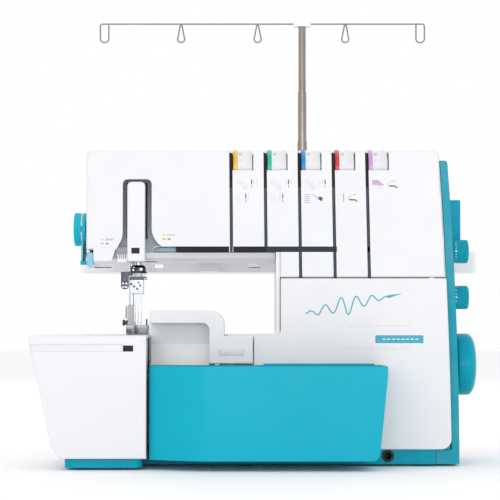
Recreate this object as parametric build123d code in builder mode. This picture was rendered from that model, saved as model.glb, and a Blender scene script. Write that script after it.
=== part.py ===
"""Serger overlock machine with cover-stitch arm: casings, drive, needle and looper parts, spool stand.

Row frame: +X to the right as the user sits, +Y away from the user, +Z up.
The origin is the middle of the footprint on the surface that the rubber feet stand on.
All sizes are in millimetres.
"""

import os

from build123d import *

os.makedirs("parts", exist_ok=True)

# ---------------------------------------------------------------- driving dimensions
FRONT = -81.5  # Y of the arm's front face
DEPTH = 118.0  # front face to the back of the housing
WALL = 2.6  # moulded wall thickness

ARM_LEFT = -179.5
ARM_TOP = 316.0
ARM_BOTTOM = 216.5
THROAT_X = 10.5  # right-hand wall of the sewing space
THROAT_TOP = 206.0
BED_TOP = 131.0
BED_LEFT = -114.5
SEAM_Z = 188.4  # joint between the upper and lower front covers
COVER_FOOT = 17.0  # lower edge of the front covers
BASE_TOP = 20.0
FOOT_HEIGHT = 2.0

COVER_EDGE = ((173.7, ARM_TOP), (181.0, 182.0), (185.5, COVER_FOOT))  # right edge of the front covers
PANEL_EDGE = ((182.5, 306.0), (189.5, 190.0), (193.8, FOOT_HEIGHT))  # outer edge of the side panel
PANEL_FOOT_X = 170.4  # where the side panel meets the base tray under the covers

NEEDLE = (-130.4, FRONT + 45.0)
PRESSER = (-137.8, FRONT + 59.0)
NEEDLE_TIP = 141.0
NEEDLE_STEP = 3.2
NEEDLE_WINDOW = (-137.4, -123.4)

SHAFT = (FRONT + 50.0, 100.5)  # Y and Z of the main shaft
MOTOR = (FRONT + 40.0, 52.0)
PULLEY_X = 160.0
PULLEY_R, MOTOR_PULLEY_R, BELT_WIDTH = 26.0, 9.0, 7.0

DIAL_X = (-32.6, 1.7, 35.8, 69.7, 103.3)  # left face of each tension dial
DIAL_WIDTH, DIAL_R = 19.6, 19.0
DIAL_AXIS = (FRONT + 20.8, 299.5)
DIAL_SILL = 296.0  # lower edge of the dial openings in the front cover
GROOVE_TOP_X = (-34.8, -0.5, 33.6, 67.5, 101.2)
GROOVE_FOOT = ((-34.0, 216.0), (0.6, 216.0), (35.2, SEAM_Z), (69.8, SEAM_Z), (104.0, SEAM_Z))
GROOVE_WIDTH, GROOVE_DEPTH = 3.2, 4.0
CHANNEL = (-89.5, 71.5, 214.0, 219.5)  # level thread channel: left, right, lower, upper

TRAY = (-199.7, 231.5, FRONT + 150.0, FRONT + 225.0, 198.0, 220.0)
TRAY_WINDOWS = ((-186.0, -166.0), (-123.0, -110.0), (-66.0, -52.5), (-17.5, -4.5), (60.0, 73.0), (130.0, 143.0))
SPOOL_X = (-177.4, -92.2, -7.0, 90.6, 174.0)
SPOOL_Y, SPOOL_R, SPOOL_ROOT_R = FRONT + 188.0, 2.5, 3.2

MAST = (42.5, FRONT + 185.0)
MAST_LEVELS = (201.0, 344.0, 399.0, 472.0)  # tube foot, two joints and the rod's top
MAST_TUBE = 144.5  # length of each section
MAST_RADII = ((5.3, 4.8), (4.7, 4.2), (4.1, 3.3))
WIRE_R, WIRE_Z = 0.8, 475.3

KNEE_SOCKET = (122.0, 10.4)  # X and Z of the knee-lift socket
KNEE_BORE_R = 3.5

COVER_HINGE = (FRONT - 0.9, 105.0)  # Y and Z of the looper cover's hinge
BUMP_TOP, BUMP_RIGHT = 155.4, -41.0

BIN = (-113.5, 117.5, FRONT - 62.0, FRONT - 8.0, 10.0, 101.2)
TABLE = (-232.0, -116.2, FRONT - 48.0, FRONT + 100.0, 11.2, BED_TOP)
ARM_BOX = (-182.0, -119.0, FRONT + 20.0, FRONT + 80.0, 88.0, BED_TOP)

PRESSURE_KNOB = (FRONT + 40.0, 238.6)
DIFFERENTIAL_KNOB = (FRONT + 40.0, 216.0)
LENGTH_KNOB = (FRONT + 40.0, 169.0)
LEVER_PIVOT = (FRONT + 61.0, 224.0)
LIFTER_PIVOT = (FRONT + 104.0, 238.0)
SWITCH = (FRONT + 92.0, 62.0)
SOCKET = (FRONT + 92.0, 36.0)


# ---------------------------------------------------------------- helpers
def block(x, y, z, mode=Mode.ADD):
    """A box between the limits x, y and z, each (low, high), in the open part."""
    with Locations(((x[0] + x[1]) / 2, (y[0] + y[1]) / 2, (z[0] + z[1]) / 2)):
        return Box(x[1] - x[0], y[1] - y[0], z[1] - z[0], mode=mode)


def rod_x(y, z, radius, x0, x1, mode=Mode.ADD):
    """A cylinder along X from x0 to x1 in the open part."""
    with Locations(((x0 + x1) / 2, y, z)):
        return Cylinder(radius, x1 - x0, rotation=(0, 90, 0), mode=mode)


def rod_y(x, z, radius, y0, y1, mode=Mode.ADD):
    """A cylinder along Y from y0 to y1 in the open part."""
    with Locations((x, (y0 + y1) / 2, z)):
        return Cylinder(radius, y1 - y0, rotation=(90, 0, 0), mode=mode)


def rod_z(x, y, radius, z0, z1, mode=Mode.ADD):
    """A cylinder along Z from z0 to z1 in the open part."""
    with Locations((x, y, (z0 + z1) / 2)):
        return Cylinder(radius, z1 - z0, mode=mode)


def front_plate(points, radii, y0, y1, mode=Mode.ADD):
    """A plate with a rounded outline of (X, Z) points, from y0 back to y1, in the open part."""
    with BuildSketch(Plane.XZ.offset(-y1)) as outline:
        with BuildLine():
            FilletPolyline(*points, radius=radii, close=True)
        make_face()
    extrude(outline.sketch, amount=y1 - y0, mode=mode)


def side_plate(points, radii, x0, x1, mode=Mode.ADD):
    """A plate with a rounded outline of (Y, Z) points, from x0 right to x1, in the open part."""
    with BuildSketch(Plane.YZ.offset(x0)) as outline:
        with BuildLine():
            FilletPolyline(*points, radius=radii, close=True)
        make_face()
    extrude(outline.sketch, amount=x1 - x0, mode=mode)


def edge_x(edge, z, shift=0.0):
    """X at height z on the parabola through the three (X, Z) points of a bowed edge, moved by shift."""
    (x0, z0), (x1, z1), (x2, z2) = edge
    near = x0 * (z - z1) * (z - z2) / ((z0 - z1) * (z0 - z2))
    middle = x1 * (z - z0) * (z - z2) / ((z1 - z0) * (z1 - z2))
    far = x2 * (z - z0) * (z - z1) / ((z2 - z0) * (z2 - z1))
    return near + middle + far + shift


def edge_arc(edge, z_from, z_to, shift=0.0):
    """The bowed edge between two heights as an arc, moved right by shift, in the open line."""
    heights = (z_from, (z_from + z_to) / 2, z_to)
    return ThreePointArc(*[(edge_x(edge, z, shift), z) for z in heights])


def write(builder, label):
    """Labels the finished piece and writes its STEP file."""
    builder.part.label = label
    export_step(builder.part, f"parts/{label}.step")


# ---------------------------------------------------------------- base and frame
with BuildPart() as base_tray:
    block((BED_LEFT, PANEL_FOOT_X - 0.4), (FRONT + 1, FRONT + DEPTH), (FOOT_HEIGHT, BASE_TOP - 3.2))
    with BuildSketch(Plane.XY.offset(FOOT_HEIGHT)):
        with BuildLine():
            FilletPolyline(
                (-196.5, FRONT - 42), (-120.7, FRONT - 42), (-120.7, FRONT + 1), (-112, FRONT + 1),
                (-112, FRONT + DEPTH), (-196.5, FRONT + DEPTH), radius=[8, 8, 0, 0, 0, 8], close=True,
            )
        make_face()
    extrude(amount=8.5)
    block((-108, 166), (FRONT + 5, FRONT + DEPTH - 4), (5.5, BASE_TOP), mode=Mode.SUBTRACT)
    rod_y(*KNEE_SOCKET, 6.05, FRONT, FRONT + 6, mode=Mode.SUBTRACT)
write(base_tray, "base_tray")

FEET = ((-182, FRONT - 26), (-182, FRONT + 102), (156, FRONT + 18), (156, FRONT + 102), (-20, FRONT + 18))
with BuildPart() as rubber_feet:
    for foot_x, foot_y in FEET:
        rod_z(foot_x, foot_y, 8, 0, FOOT_HEIGHT)
write(rubber_feet, "rubber_feet")

with BuildPart() as main_frame:
    block((-104, 164), (FRONT + 72, FRONT + 104), (6, 18))
    block((104, 148), (FRONT + 72, FRONT + 100), (18, 292))
    block((-160, 104), (FRONT + 76, FRONT + 96), (262, 292))
    block((-104, -84), (FRONT + 72, FRONT + 84), (18, 104))
    block((-176, -104), (FRONT + 64, FRONT + 76), (92, 104))
    fillet(main_frame.edges().filter_by(Axis.Y).group_by(Axis.X)[-2], radius=4)
write(main_frame, "main_frame")

with BuildPart() as motor:
    rod_x(*MOTOR, 24, 24, 92)
    rod_x(*MOTOR, 11, 18, 98)
    block((34, 82), (FRONT + 52, FRONT + 68), (19, 40))
write(motor, "motor")

with BuildPart() as motor_pulley:
    rod_x(*MOTOR, 4, 98.4, 172)
    rod_x(*MOTOR, MOTOR_PULLEY_R, PULLEY_X, PULLEY_X + BELT_WIDTH)
    for flange in (PULLEY_X - 1.4, PULLEY_X + BELT_WIDTH + 0.4):
        rod_x(*MOTOR, MOTOR_PULLEY_R + 2.6, flange, flange + 1.0)
write(motor_pulley, "motor_pulley")

with BuildPart() as main_shaft:
    rod_x(*SHAFT, 5, -96, 196)
    rod_x(*SHAFT, 11, -70, -60)
    rod_x(*SHAFT, 11, -40, -30)
    rod_x(*SHAFT, PULLEY_R, PULLEY_X, PULLEY_X + BELT_WIDTH)
    rod_x(*SHAFT, 12, PULLEY_X - 8, PULLEY_X)
write(main_shaft, "main_shaft")

with BuildPart() as drive_belt:
    for clearance, mode in ((2.0, Mode.ADD), (0.4, Mode.SUBTRACT)):
        with BuildSketch(Plane.YZ.offset(PULLEY_X + 0.5)):
            for centre, radius in ((SHAFT, PULLEY_R), (MOTOR, MOTOR_PULLEY_R)):
                with Locations(centre):
                    Circle(radius + clearance)
            make_hull()
        extrude(amount=BELT_WIDTH - 1, mode=mode)
write(drive_belt, "drive_belt")

with BuildPart() as handwheel:
    with BuildSketch(Plane.XZ.offset(-SHAFT[0])):
        with BuildLine():
            FilletPolyline(
                (194.5, SHAFT[1]), (194.5, SHAFT[1] + 27), (197, SHAFT[1] + 31.5), (217.5, SHAFT[1] + 31.5),
                (217.5, SHAFT[1] + 22), (214.5, SHAFT[1] + 17), (214.5, SHAFT[1]),
                radius=[0, 1.5, 2, 4.5, 2, 1.5, 0], close=True,
            )
        make_face()
    revolve(axis=Axis((0, SHAFT[0], SHAFT[1]), (1, 0, 0)))
    rod_x(*SHAFT, 5, 190, 196, mode=Mode.SUBTRACT)
write(handwheel, "handwheel")

# ---------------------------------------------------------------- casings
with BuildPart() as rear_housing:
    front_plate(
        [(ARM_LEFT, 214.4), (ARM_LEFT, ARM_TOP), (172.6, ARM_TOP), (180.6, BASE_TOP), (BED_LEFT, BASE_TOP),
         (BED_LEFT, BED_TOP), (THROAT_X, BED_TOP), (THROAT_X, 214.4)],
        [0, 7, 7, 0, 0, 3, 0, 0], FRONT + 36.4, FRONT + DEPTH,
    )
    back_edges = rear_housing.edges().group_by(Axis.Y)[-1]
    fillet(back_edges, radius=2.4)
    front_plate(
        [(ARM_LEFT + WALL, 211), (ARM_LEFT + WALL, ARM_TOP - WALL), (168, ARM_TOP - WALL), (170, 302), (190, 298),
         (190, BASE_TOP - 3), (BED_LEFT + WALL, BASE_TOP - 3), (BED_LEFT + WALL, BED_TOP - WALL),
         (THROAT_X + WALL, BED_TOP - WALL), (THROAT_X + WALL, 211)],
        [0, 4, 4, 0, 0, 0, 0, 2, 0, 0], FRONT + 30, FRONT + DEPTH - WALL, mode=Mode.SUBTRACT,
    )
    block((BED_LEFT - 1, BED_LEFT + WALL + 1), (FRONT + 30, FRONT + 92), (66, 128), mode=Mode.SUBTRACT)
    rod_x(*PRESSURE_KNOB, 3.4, ARM_LEFT - 1, ARM_LEFT + WALL + 1, mode=Mode.SUBTRACT)
    block((-152, -138), (FRONT + DEPTH - 5, FRONT + DEPTH + 1), (216, 262), mode=Mode.SUBTRACT)
    with Locations(*[(90 + 8 * i, FRONT + DEPTH - 1, 70) for i in range(6)]):
        Box(3, 8, 34, mode=Mode.SUBTRACT)
write(rear_housing, "rear_housing")

with BuildPart() as arm_front_cover:
    with BuildSketch(Plane.XZ.offset(-(FRONT + 36))) as front_outline:
        with BuildLine():
            edge_arc(COVER_EDGE, ARM_TOP, SEAM_Z)
            Polyline((edge_x(COVER_EDGE, SEAM_Z), SEAM_Z), (14.5, SEAM_Z), (14.5, ARM_BOTTOM), (ARM_LEFT, ARM_BOTTOM),
                     (ARM_LEFT, ARM_TOP), COVER_EDGE[0])
        make_face()
        fillet(front_outline.vertices().group_by(Axis.Y)[-1], radius=6)
    extrude(amount=36)
    front_ring = arm_front_cover.faces().sort_by(Axis.Y)[0].edges()
    fillet(front_ring, radius=2.2)
    front_plate(
        [(ARM_LEFT + WALL, ARM_BOTTOM - 1), (ARM_LEFT + WALL, ARM_TOP - WALL), (168, ARM_TOP - WALL),
         (176, SEAM_Z - 1), (17.1, SEAM_Z - 1), (17.1, ARM_BOTTOM - 1)],
        [0, 4, 4, 0, 0, 0], FRONT + 6, FRONT + 37, mode=Mode.SUBTRACT,
    )
    for top_x, (foot_x, foot_z) in zip(GROOVE_TOP_X, GROOVE_FOOT):
        half = GROOVE_WIDTH / 2
        front_plate(
            [(top_x - half, ARM_TOP + 4), (top_x + half, ARM_TOP + 4), (foot_x + half, foot_z - 1),
             (foot_x - half, foot_z - 1)],
            [0, 0, 0, 0], FRONT - 1, FRONT + GROOVE_DEPTH, mode=Mode.SUBTRACT,
        )
    block(CHANNEL[:2], (FRONT - 1, FRONT + GROOVE_DEPTH), CHANNEL[2:], mode=Mode.SUBTRACT)
    for left in DIAL_X:
        across = (left - 0.6, left + DIAL_WIDTH + 0.8)
        block(across, (FRONT - 1, FRONT + 34.6), (DIAL_SILL, ARM_TOP + 1), mode=Mode.SUBTRACT)
        block(across, (FRONT + 1.3, FRONT + 34.6), (278, DIAL_SILL + 1), mode=Mode.SUBTRACT)
    with BuildSketch(Plane.XZ.offset(-(FRONT + 8))):
        with BuildLine():
            FilletPolyline((-143, 234), (-143, 287), (-114, 287), (-114, 238), radius=[5, 5])
            Spline((-114, 238), (-110.6, 226.5), (-103.5, 219.5), tangents=[(0, -1), (0.9, -0.5)])
            Polyline((-103.5, 219.5), (-89.5, 219.5), (-89.5, 210), (-151, 210), (-149.2, 216.5))
            Spline((-149.2, 216.5), (-145.2, 224.5), (-143, 234), tangents=[(0.35, 1), (0, 1)])
        make_face()
    extrude(amount=10, mode=Mode.SUBTRACT)
    front_plate([(-172.2, 218), (-172.2, 205), (-154.2, 205), (-150.4, 216), (-150.4, 218)], [0, 1, 1, 0, 0],
                FRONT, FRONT + 8)
write(arm_front_cover, "arm_front_cover")

with BuildPart() as thread_channel_liner:
    for top_x, (foot_x, foot_z) in zip(GROOVE_TOP_X, GROOVE_FOOT):
        half = GROOVE_WIDTH / 2 - 0.05
        top = 282.0
        share = (ARM_TOP + 4 - top) / (ARM_TOP + 5 - foot_z)
        slant = (foot_x - top_x) * share
        front_plate(
            [(top_x + slant - half, top), (top_x + slant + half, top), (foot_x + half, foot_z + 0.1),
             (foot_x - half, foot_z + 0.1)],
            [0, 0, 0, 0], FRONT + GROOVE_DEPTH - 1, FRONT + GROOVE_DEPTH,
        )
    block((CHANNEL[0], CHANNEL[1] - 0.1), (FRONT + GROOVE_DEPTH - 1, FRONT + GROOVE_DEPTH),
          (214.1, CHANNEL[3] - 0.1))
write(thread_channel_liner, "thread_channel_liner")

with BuildPart() as head_inner_plate:
    front_plate(
        [(-158, 214), (-158, 296), (-96, 296), (-96, 222), (-86, 220), (-86, 214)], [0, 6, 6, 4, 1, 0],
        FRONT + 8.6, FRONT + 11,
    )
    front_plate(
        [(-152.9, 208.2), (-149.9, 216), (-148.4, 219), (-138.8, 219), (-138.8, 212.3), (-148.7, 212.3),
         (-148.9, 208.2)],
        [0.8, 0, 0, 0, 0, 0, 0.8], FRONT + 5.4, FRONT + 9,
    )
write(head_inner_plate, "head_inner_plate")

with BuildPart() as take_up_cover:
    front_plate([(-138.5, 204.4), (-138.5, 284.5), (-120.5, 284.5), (-120.5, 204.4)], [0, 4.5, 4.5, 0],
                FRONT - 0.6, FRONT + 8.4)
    fillet(take_up_cover.faces().sort_by(Axis.Y)[0].edges(), radius=1.4)
    block((-134.2, -126.0), (FRONT - 2, FRONT + 9), (212.4, 218.2), mode=Mode.SUBTRACT)
write(take_up_cover, "take_up_cover")

with BuildPart() as threader_lever:
    block((-133.8, -126.4), (FRONT - 0.2, FRONT + 6), (212.8, 217.8))
    fillet(threader_lever.edges().filter_by(Axis.Y), radius=0.8)
write(threader_lever, "threader_lever")

with BuildPart() as arm_lower_casing:
    side_plate(
        [(FRONT + 8.8, 213.8), (FRONT + 12, 207.6), (FRONT + 22, THROAT_TOP), (FRONT + DEPTH - 3, THROAT_TOP),
         (FRONT + DEPTH - 3, 213.8)],
        [0, 3, 6, 3, 0], ARM_LEFT + 0.6, THROAT_X - 0.4,
    )
    side_plate(
        [(FRONT + 20, 215), (FRONT + 28, THROAT_TOP + WALL), (FRONT + DEPTH - 6, THROAT_TOP + WALL),
         (FRONT + DEPTH - 6, 215)],
        [0, 4, 2, 0], ARM_LEFT + 4, THROAT_X - 4, mode=Mode.SUBTRACT,
    )
    block((-148, -111), (FRONT + 30, FRONT + 72), (200, 212), mode=Mode.SUBTRACT)
write(arm_lower_casing, "arm_lower_casing")

with BuildPart() as side_panel:
    with BuildSketch(Plane.XZ.offset(-(FRONT + DEPTH))):
        with BuildLine():
            edge_arc(PANEL_EDGE, 306.0, FOOT_HEIGHT)
            Polyline((edge_x(PANEL_EDGE, FOOT_HEIGHT), FOOT_HEIGHT), (PANEL_FOOT_X, FOOT_HEIGHT),
                     (PANEL_FOOT_X, COVER_FOOT - 0.4), (edge_x(COVER_EDGE, COVER_FOOT - 0.4, 0.6), COVER_FOOT - 0.4))
            edge_arc(COVER_EDGE, COVER_FOOT - 0.4, 306.0, 0.6)
            Line((edge_x(COVER_EDGE, 306.0, 0.6), 306.0), PANEL_EDGE[0])
        make_face()
    extrude(amount=DEPTH - 3)
    fillet(side_panel.edges().filter_by(Axis.Y).group_by(Axis.Z)[-1].sort_by(Axis.X)[-1], radius=3)
    for y, z, radius in ((*SHAFT, 6), (*DIFFERENTIAL_KNOB, 3.4), (*LENGTH_KNOB, 3.4), (*LEVER_PIVOT, 4.4)):
        rod_x(y, z, radius, 165, 200, mode=Mode.SUBTRACT)
    block((175, 200), (SWITCH[0] - 6, SWITCH[0] + 6), (SWITCH[1] - 10.5, SWITCH[1] + 10.5), mode=Mode.SUBTRACT)
    block((175, 200), (SOCKET[0] - 13, SOCKET[0] + 13), (SOCKET[1] - 9, SOCKET[1] + 9), mode=Mode.SUBTRACT)
write(side_panel, "side_panel")

with BuildPart() as lower_front_cover:
    with BuildSketch(Plane.XZ.offset(-(FRONT + 1))):
        with BuildLine():
            top, foot = SEAM_Z - 0.8, COVER_FOOT + 11
            edge_arc(COVER_EDGE, top, foot)
            FilletPolyline((edge_x(COVER_EDGE, foot), foot), (edge_x(COVER_EDGE, COVER_FOOT), COVER_FOOT),
                           (-114, COVER_FOOT), (-114, 101), (-11.6, 101), (-11.6, BED_TOP - 1), (15, BED_TOP - 1),
                           (15, top), (edge_x(COVER_EDGE, top), top), radius=[10.5, 1, 1, 1, 1, 6, 1])
        make_face()
    extrude(amount=4)
    fillet(lower_front_cover.faces().sort_by(Axis.Y)[0].edges(), radius=1.2)
    for peg_x in (-90.0, 90.0):
        rod_y(peg_x, 60, 3.4, FRONT - 4, FRONT + 2, mode=Mode.SUBTRACT)
    rod_x(*COVER_HINGE, 1.35, -12, -6, mode=Mode.SUBTRACT)
write(lower_front_cover, "lower_front_cover")

with BuildPart() as throat_trim:
    front_plate(
        [(BED_LEFT + 0.4, BED_TOP - 6), (BED_LEFT + 0.4, BED_TOP), (THROAT_X, BED_TOP), (THROAT_X, 214),
         (14.4, 214), (14.4, BED_TOP - 6)],
        [0, 0, 6, 0, 0, 0], FRONT + 24, FRONT + 36,
    )
    front_plate(
        [(-38, BED_TOP - 6), (-38, BED_TOP), (THROAT_X, BED_TOP), (THROAT_X, 214), (14.4, 214), (14.4, BED_TOP - 6)],
        [0, 0, 6, 0, 0, 0], FRONT + 1.2, FRONT + 24,
    )
write(throat_trim, "throat_trim")

# ---------------------------------------------------------------- looper cover, bin and extension table
with BuildPart() as looper_cover:
    front_plate(
        [(-115.6, 102.4), (-115.6, BUMP_TOP), (BUMP_RIGHT, BUMP_TOP), (BUMP_RIGHT, BED_TOP - 1), (-12.4, BED_TOP - 1),
         (-12.4, 102.4)],
        [0, 2, 14, 1, 1, 0], FRONT - 3.2, FRONT + 0.8,
    )
    front_plate(
        [(-115.6, 106), (-115.6, BUMP_TOP), (BUMP_RIGHT, BUMP_TOP), (BUMP_RIGHT, 106)], [0, 2, 14, 0],
        FRONT + 0.8, FRONT + 22,
    )
    fillet(looper_cover.faces().sort_by(Axis.Y)[0].edges(), radius=1.2)
    front_plate(
        [(-117, 100), (-117, 143), (-56, 143), (-56, 100)], [0, 0, 7, 0], FRONT - 5, FRONT + 19, mode=Mode.SUBTRACT,
    )
    block((-53, BUMP_RIGHT - 3), (FRONT + 3, FRONT + 23), (105, BUMP_TOP - 8), mode=Mode.SUBTRACT)
    block((-51.5, -45.5), (FRONT - 2.35, FRONT + 24), (101, 110), mode=Mode.SUBTRACT)
    rod_x(*COVER_HINGE, 1.35, -57, -11, mode=Mode.SUBTRACT)
write(looper_cover, "looper_cover")

with BuildPart() as cover_hinge_pins:
    rod_x(*COVER_HINGE, 1.28, -55.4, -6.5)
    block((-50.5, -46.5), (COVER_HINGE[0], FRONT + 8), (COVER_HINGE[1] - 1.0, COVER_HINGE[1] + 1.2))
    block((-50.5, -46.5), (FRONT + 3.4, FRONT + 8), (84, COVER_HINGE[1]))
write(cover_hinge_pins, "cover_hinge_pins")

with BuildPart() as waste_bin:
    with BuildSketch(Plane.XY.offset(BIN[4])):
        with BuildLine():
            l1 = Line((BIN[0], BIN[3]), (BIN[1], BIN[3]))
            l2 = Line((BIN[1], BIN[3]), (BIN[1], BIN[2]))
            l3 = Line((BIN[1], BIN[2]), (-50, BIN[2]))
            l4 = Spline((-50, BIN[2]), (-78, BIN[2] + 5.5), (BIN[0], BIN[2] + 21), tangents=[(-1, 0), (-0.9, 0.42)])
            l5 = Line((BIN[0], BIN[2] + 21), (BIN[0], BIN[3]))
        make_face()
    extrude(amount=BIN[5] - BIN[4])
    front_plate(
        [(BIN[1] + 1, BIN[5] + 1), (BIN[1] - 8.4, BIN[4]), (BIN[1] - 20, BIN[4] - 2), (BIN[1] + 10, BIN[4] - 2),
         (BIN[1] + 10, BIN[5] + 1)],
        [0, 11, 0, 0, 0], BIN[2] - 1, BIN[3] + 1, mode=Mode.SUBTRACT,
    )
    offset(amount=-2.2, openings=waste_bin.faces().sort_by(Axis.Z)[-1])
    block((-2, 108), (BIN[3] - 2.2, BIN[3]), (BIN[5] - 1, BIN[5] + 1.6))
    for peg_x in (-90.0, 90.0):
        rod_y(peg_x, 60, 3.0, BIN[3] - 1, FRONT + 0.5)
write(waste_bin, "waste_bin")

with BuildPart() as extension_table:
    front_plate(
        [(TABLE[0], TABLE[5]), (-208.5, 22), (-200, TABLE[4]), (TABLE[1], TABLE[4]), (TABLE[1], TABLE[5])],
        [2, 6, 3, 0, 0], TABLE[2], TABLE[3],
    )
    fillet(extension_table.faces().sort_by(Axis.Y)[0].edges(), radius=1.6)
    front_plate(
        [(TABLE[0] + 4.2, TABLE[5] - WALL), (-205.8, 23.5), (-199.5, TABLE[4] + WALL),
         (TABLE[1] + 2, TABLE[4] + WALL),
         (TABLE[1] + 2, TABLE[5] - WALL)],
        [2, 4, 2, 0, 0], TABLE[2] + 4, TABLE[3] - WALL, mode=Mode.SUBTRACT,
    )
    block((ARM_BOX[0] - 1, TABLE[1] + 2), (ARM_BOX[2] - 1, ARM_BOX[3] + 1), (TABLE[5] - 6, TABLE[5] + 1),
          mode=Mode.SUBTRACT)
    front_plate(
        [(-229.5, 122.4), (-228, 115.2), (-138.8, 115.2), (-138.8, 122.4)], [1, 1, 1, 1],
        TABLE[2] - 1, TABLE[2] + 1.1, mode=Mode.SUBTRACT,
    )
    block((-138.9, -128.9), (TABLE[2] - 1, TABLE[2] + 5), (115.3, 121.3), mode=Mode.SUBTRACT)
write(extension_table, "extension_table")

with BuildPart() as table_release_button:
    block((-138.5, -129.3), (TABLE[2] + 0.3, TABLE[2] + 7), (115.7, 120.9))
    fillet(table_release_button.edges().filter_by(Axis.Y), radius=0.8)
write(table_release_button, "table_release_button")

with BuildPart() as free_arm_casing:
    block(ARM_BOX[:2], ARM_BOX[2:4], ARM_BOX[4:])
    fillet(free_arm_casing.edges().filter_by(Axis.Z).group_by(Axis.X)[0], radius=12)
    block((ARM_BOX[0] + WALL, ARM_BOX[1] + 1), (ARM_BOX[2] + WALL, ARM_BOX[3] - WALL), (88 + WALL, BED_TOP - WALL),
          mode=Mode.SUBTRACT)
    block((-166, -118), (ARM_BOX[2] + 3, ARM_BOX[3] - 3), (BED_TOP - 4, BED_TOP + 1), mode=Mode.SUBTRACT)
write(free_arm_casing, "free_arm_casing")

# ---------------------------------------------------------------- stitching parts
with BuildPart() as needle_plate:
    block((-165.8, ARM_BOX[1]), (ARM_BOX[2] + 3.2, ARM_BOX[3] - 3.2), (BED_TOP - 2.4, BED_TOP))
    block(NEEDLE_WINDOW, (FRONT + 40, FRONT + 50), (120, 140), mode=Mode.SUBTRACT)
    for slot in ((-143, -138.4), (-122.4, -120.2)):
        block(slot, (FRONT + 27, FRONT + 70), (120, 140), mode=Mode.SUBTRACT)
    for screw_y in (FRONT + 30, FRONT + 70):
        rod_z(-158, screw_y, 1.65, 120, 140, mode=Mode.SUBTRACT)
write(needle_plate, "needle_plate")

with BuildPart() as feed_dogs:
    block((-142.6, -138.8), (FRONT + 31, FRONT + 66), (119, BED_TOP + 0.2))
    block((-122.0, -120.6), (FRONT + 31, FRONT + 66), (119, BED_TOP + 0.2))
    block((-142.6, -120.6), (FRONT + 54, FRONT + 64), (116, 120))
    for i in range(9):
        with Locations((-131, FRONT + 33.5 + 3.6 * i, BED_TOP + 0.4)):
            Box(26, 1.4, 1.6, rotation=(45, 0, 0), mode=Mode.SUBTRACT)
write(feed_dogs, "feed_dogs")

with BuildPart() as needle_bar:
    rod_z(*NEEDLE, 3.5, 189, 300)
    block((NEEDLE[0] - 6, NEEDLE[0] + 6), (NEEDLE[1] - 6, NEEDLE[1] + 6), (240, 254))
write(needle_bar, "needle_bar")

NEEDLE_X = [NEEDLE[0] + NEEDLE_STEP * i for i in (-1, 0, 1)]
with BuildPart() as needle_clamp:
    block((NEEDLE[0] - 8.3, NEEDLE[0] + 5.9), (NEEDLE[1] - 7, NEEDLE[1] + 7), (172.5, 189.8))
    rod_z(*NEEDLE, 7.2, 189.8, 193.8)
    rod_z(*NEEDLE, 9.2, 193.8, 195.4)
    with Locations((NEEDLE[0], NEEDLE[1], 198.9)):
        Cone(8.2, 5.4, 7)
    rod_z(*NEEDLE, 3.5, 189, 205, mode=Mode.SUBTRACT)
    for needle_x in NEEDLE_X:
        rod_z(needle_x, NEEDLE[1], 1.05, 168, 181, mode=Mode.SUBTRACT)
    front_plate([(-147.4, 177.4), (-147.4, 195.2), (-139.4, 195.2), (-139.4, 177.4)], [3.4, 1, 0, 3.4],
                NEEDLE[1] - 8.4, NEEDLE[1] - 7)
    block((-143, NEEDLE[0] - 6), (NEEDLE[1] - 7.6, NEEDLE[1] - 4), (191.4, 195.2))
write(needle_clamp, "needle_clamp")

CLAMP_SCREWS = ((-137.0, 182.6), (-134.0, 180.2), (-130.8, 177.8), (-129.4, 184.2), (-127.6, 181.2))
with BuildPart() as clamp_screws:
    for screw_x, screw_z in CLAMP_SCREWS:
        rod_y(screw_x, screw_z, 1.15, NEEDLE[1] - 8.2, NEEDLE[1] - 7.02)
write(clamp_screws, "clamp_screws")

with BuildPart() as needles:
    for needle_x in NEEDLE_X:
        rod_z(needle_x, NEEDLE[1], 1.0, 163, 180.6)
        rod_z(needle_x, NEEDLE[1], 0.6, NEEDLE_TIP + 3, 163)
        with Locations((needle_x, NEEDLE[1], NEEDLE_TIP + 1.5)):
            Cone(0.1, 0.6, 3)
write(needles, "needles")

with BuildPart() as presser_bar:
    rod_z(*PRESSER, 3.0, 156.2, 300)
    block((PRESSER[0] - 6, PRESSER[0] + 6), (PRESSER[1] - 5, PRESSER[1] + 8), (226, 238))
write(presser_bar, "presser_bar")

with BuildPart() as presser_foot:
    front_plate([(-141.6, 138), (-141.6, 162), (-134.0, 162), (-134.0, 138)], [0, 1, 1, 0], FRONT + 54.5, FRONT + 64)
    rod_z(*PRESSER, 3.0, 156, 163, mode=Mode.SUBTRACT)
    side_plate(
        [(FRONT + 20, 138.6), (FRONT + 26, 131.6), (FRONT + 70, 131.6), (FRONT + 70, 141), (FRONT + 34, 141),
         (FRONT + 20.4, 140.6)],
        [0.6, 3, 1, 2, 3, 0.6], -141.2, -119.8,
    )
    block(NEEDLE_WINDOW, (FRONT + 40, FRONT + 50), (130, 144), mode=Mode.SUBTRACT)
    block((-132.6, -129.4), (FRONT + 18, FRONT + 36), (130, 144), mode=Mode.SUBTRACT)
write(presser_foot, "presser_foot")

with BuildPart() as presser_lifter:
    rod_x(*LIFTER_PIVOT, 5, -150, -140)
    side_plate(
        [(LIFTER_PIVOT[0], 234), (FRONT + DEPTH + 22, 226), (FRONT + DEPTH + 22, 233), (LIFTER_PIVOT[0], 242)],
        [0, 3, 3, 0], -148, -142,
    )
    rod_x(*LIFTER_PIVOT, 2.1, -151, -139, mode=Mode.SUBTRACT)
write(presser_lifter, "presser_lifter")

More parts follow.
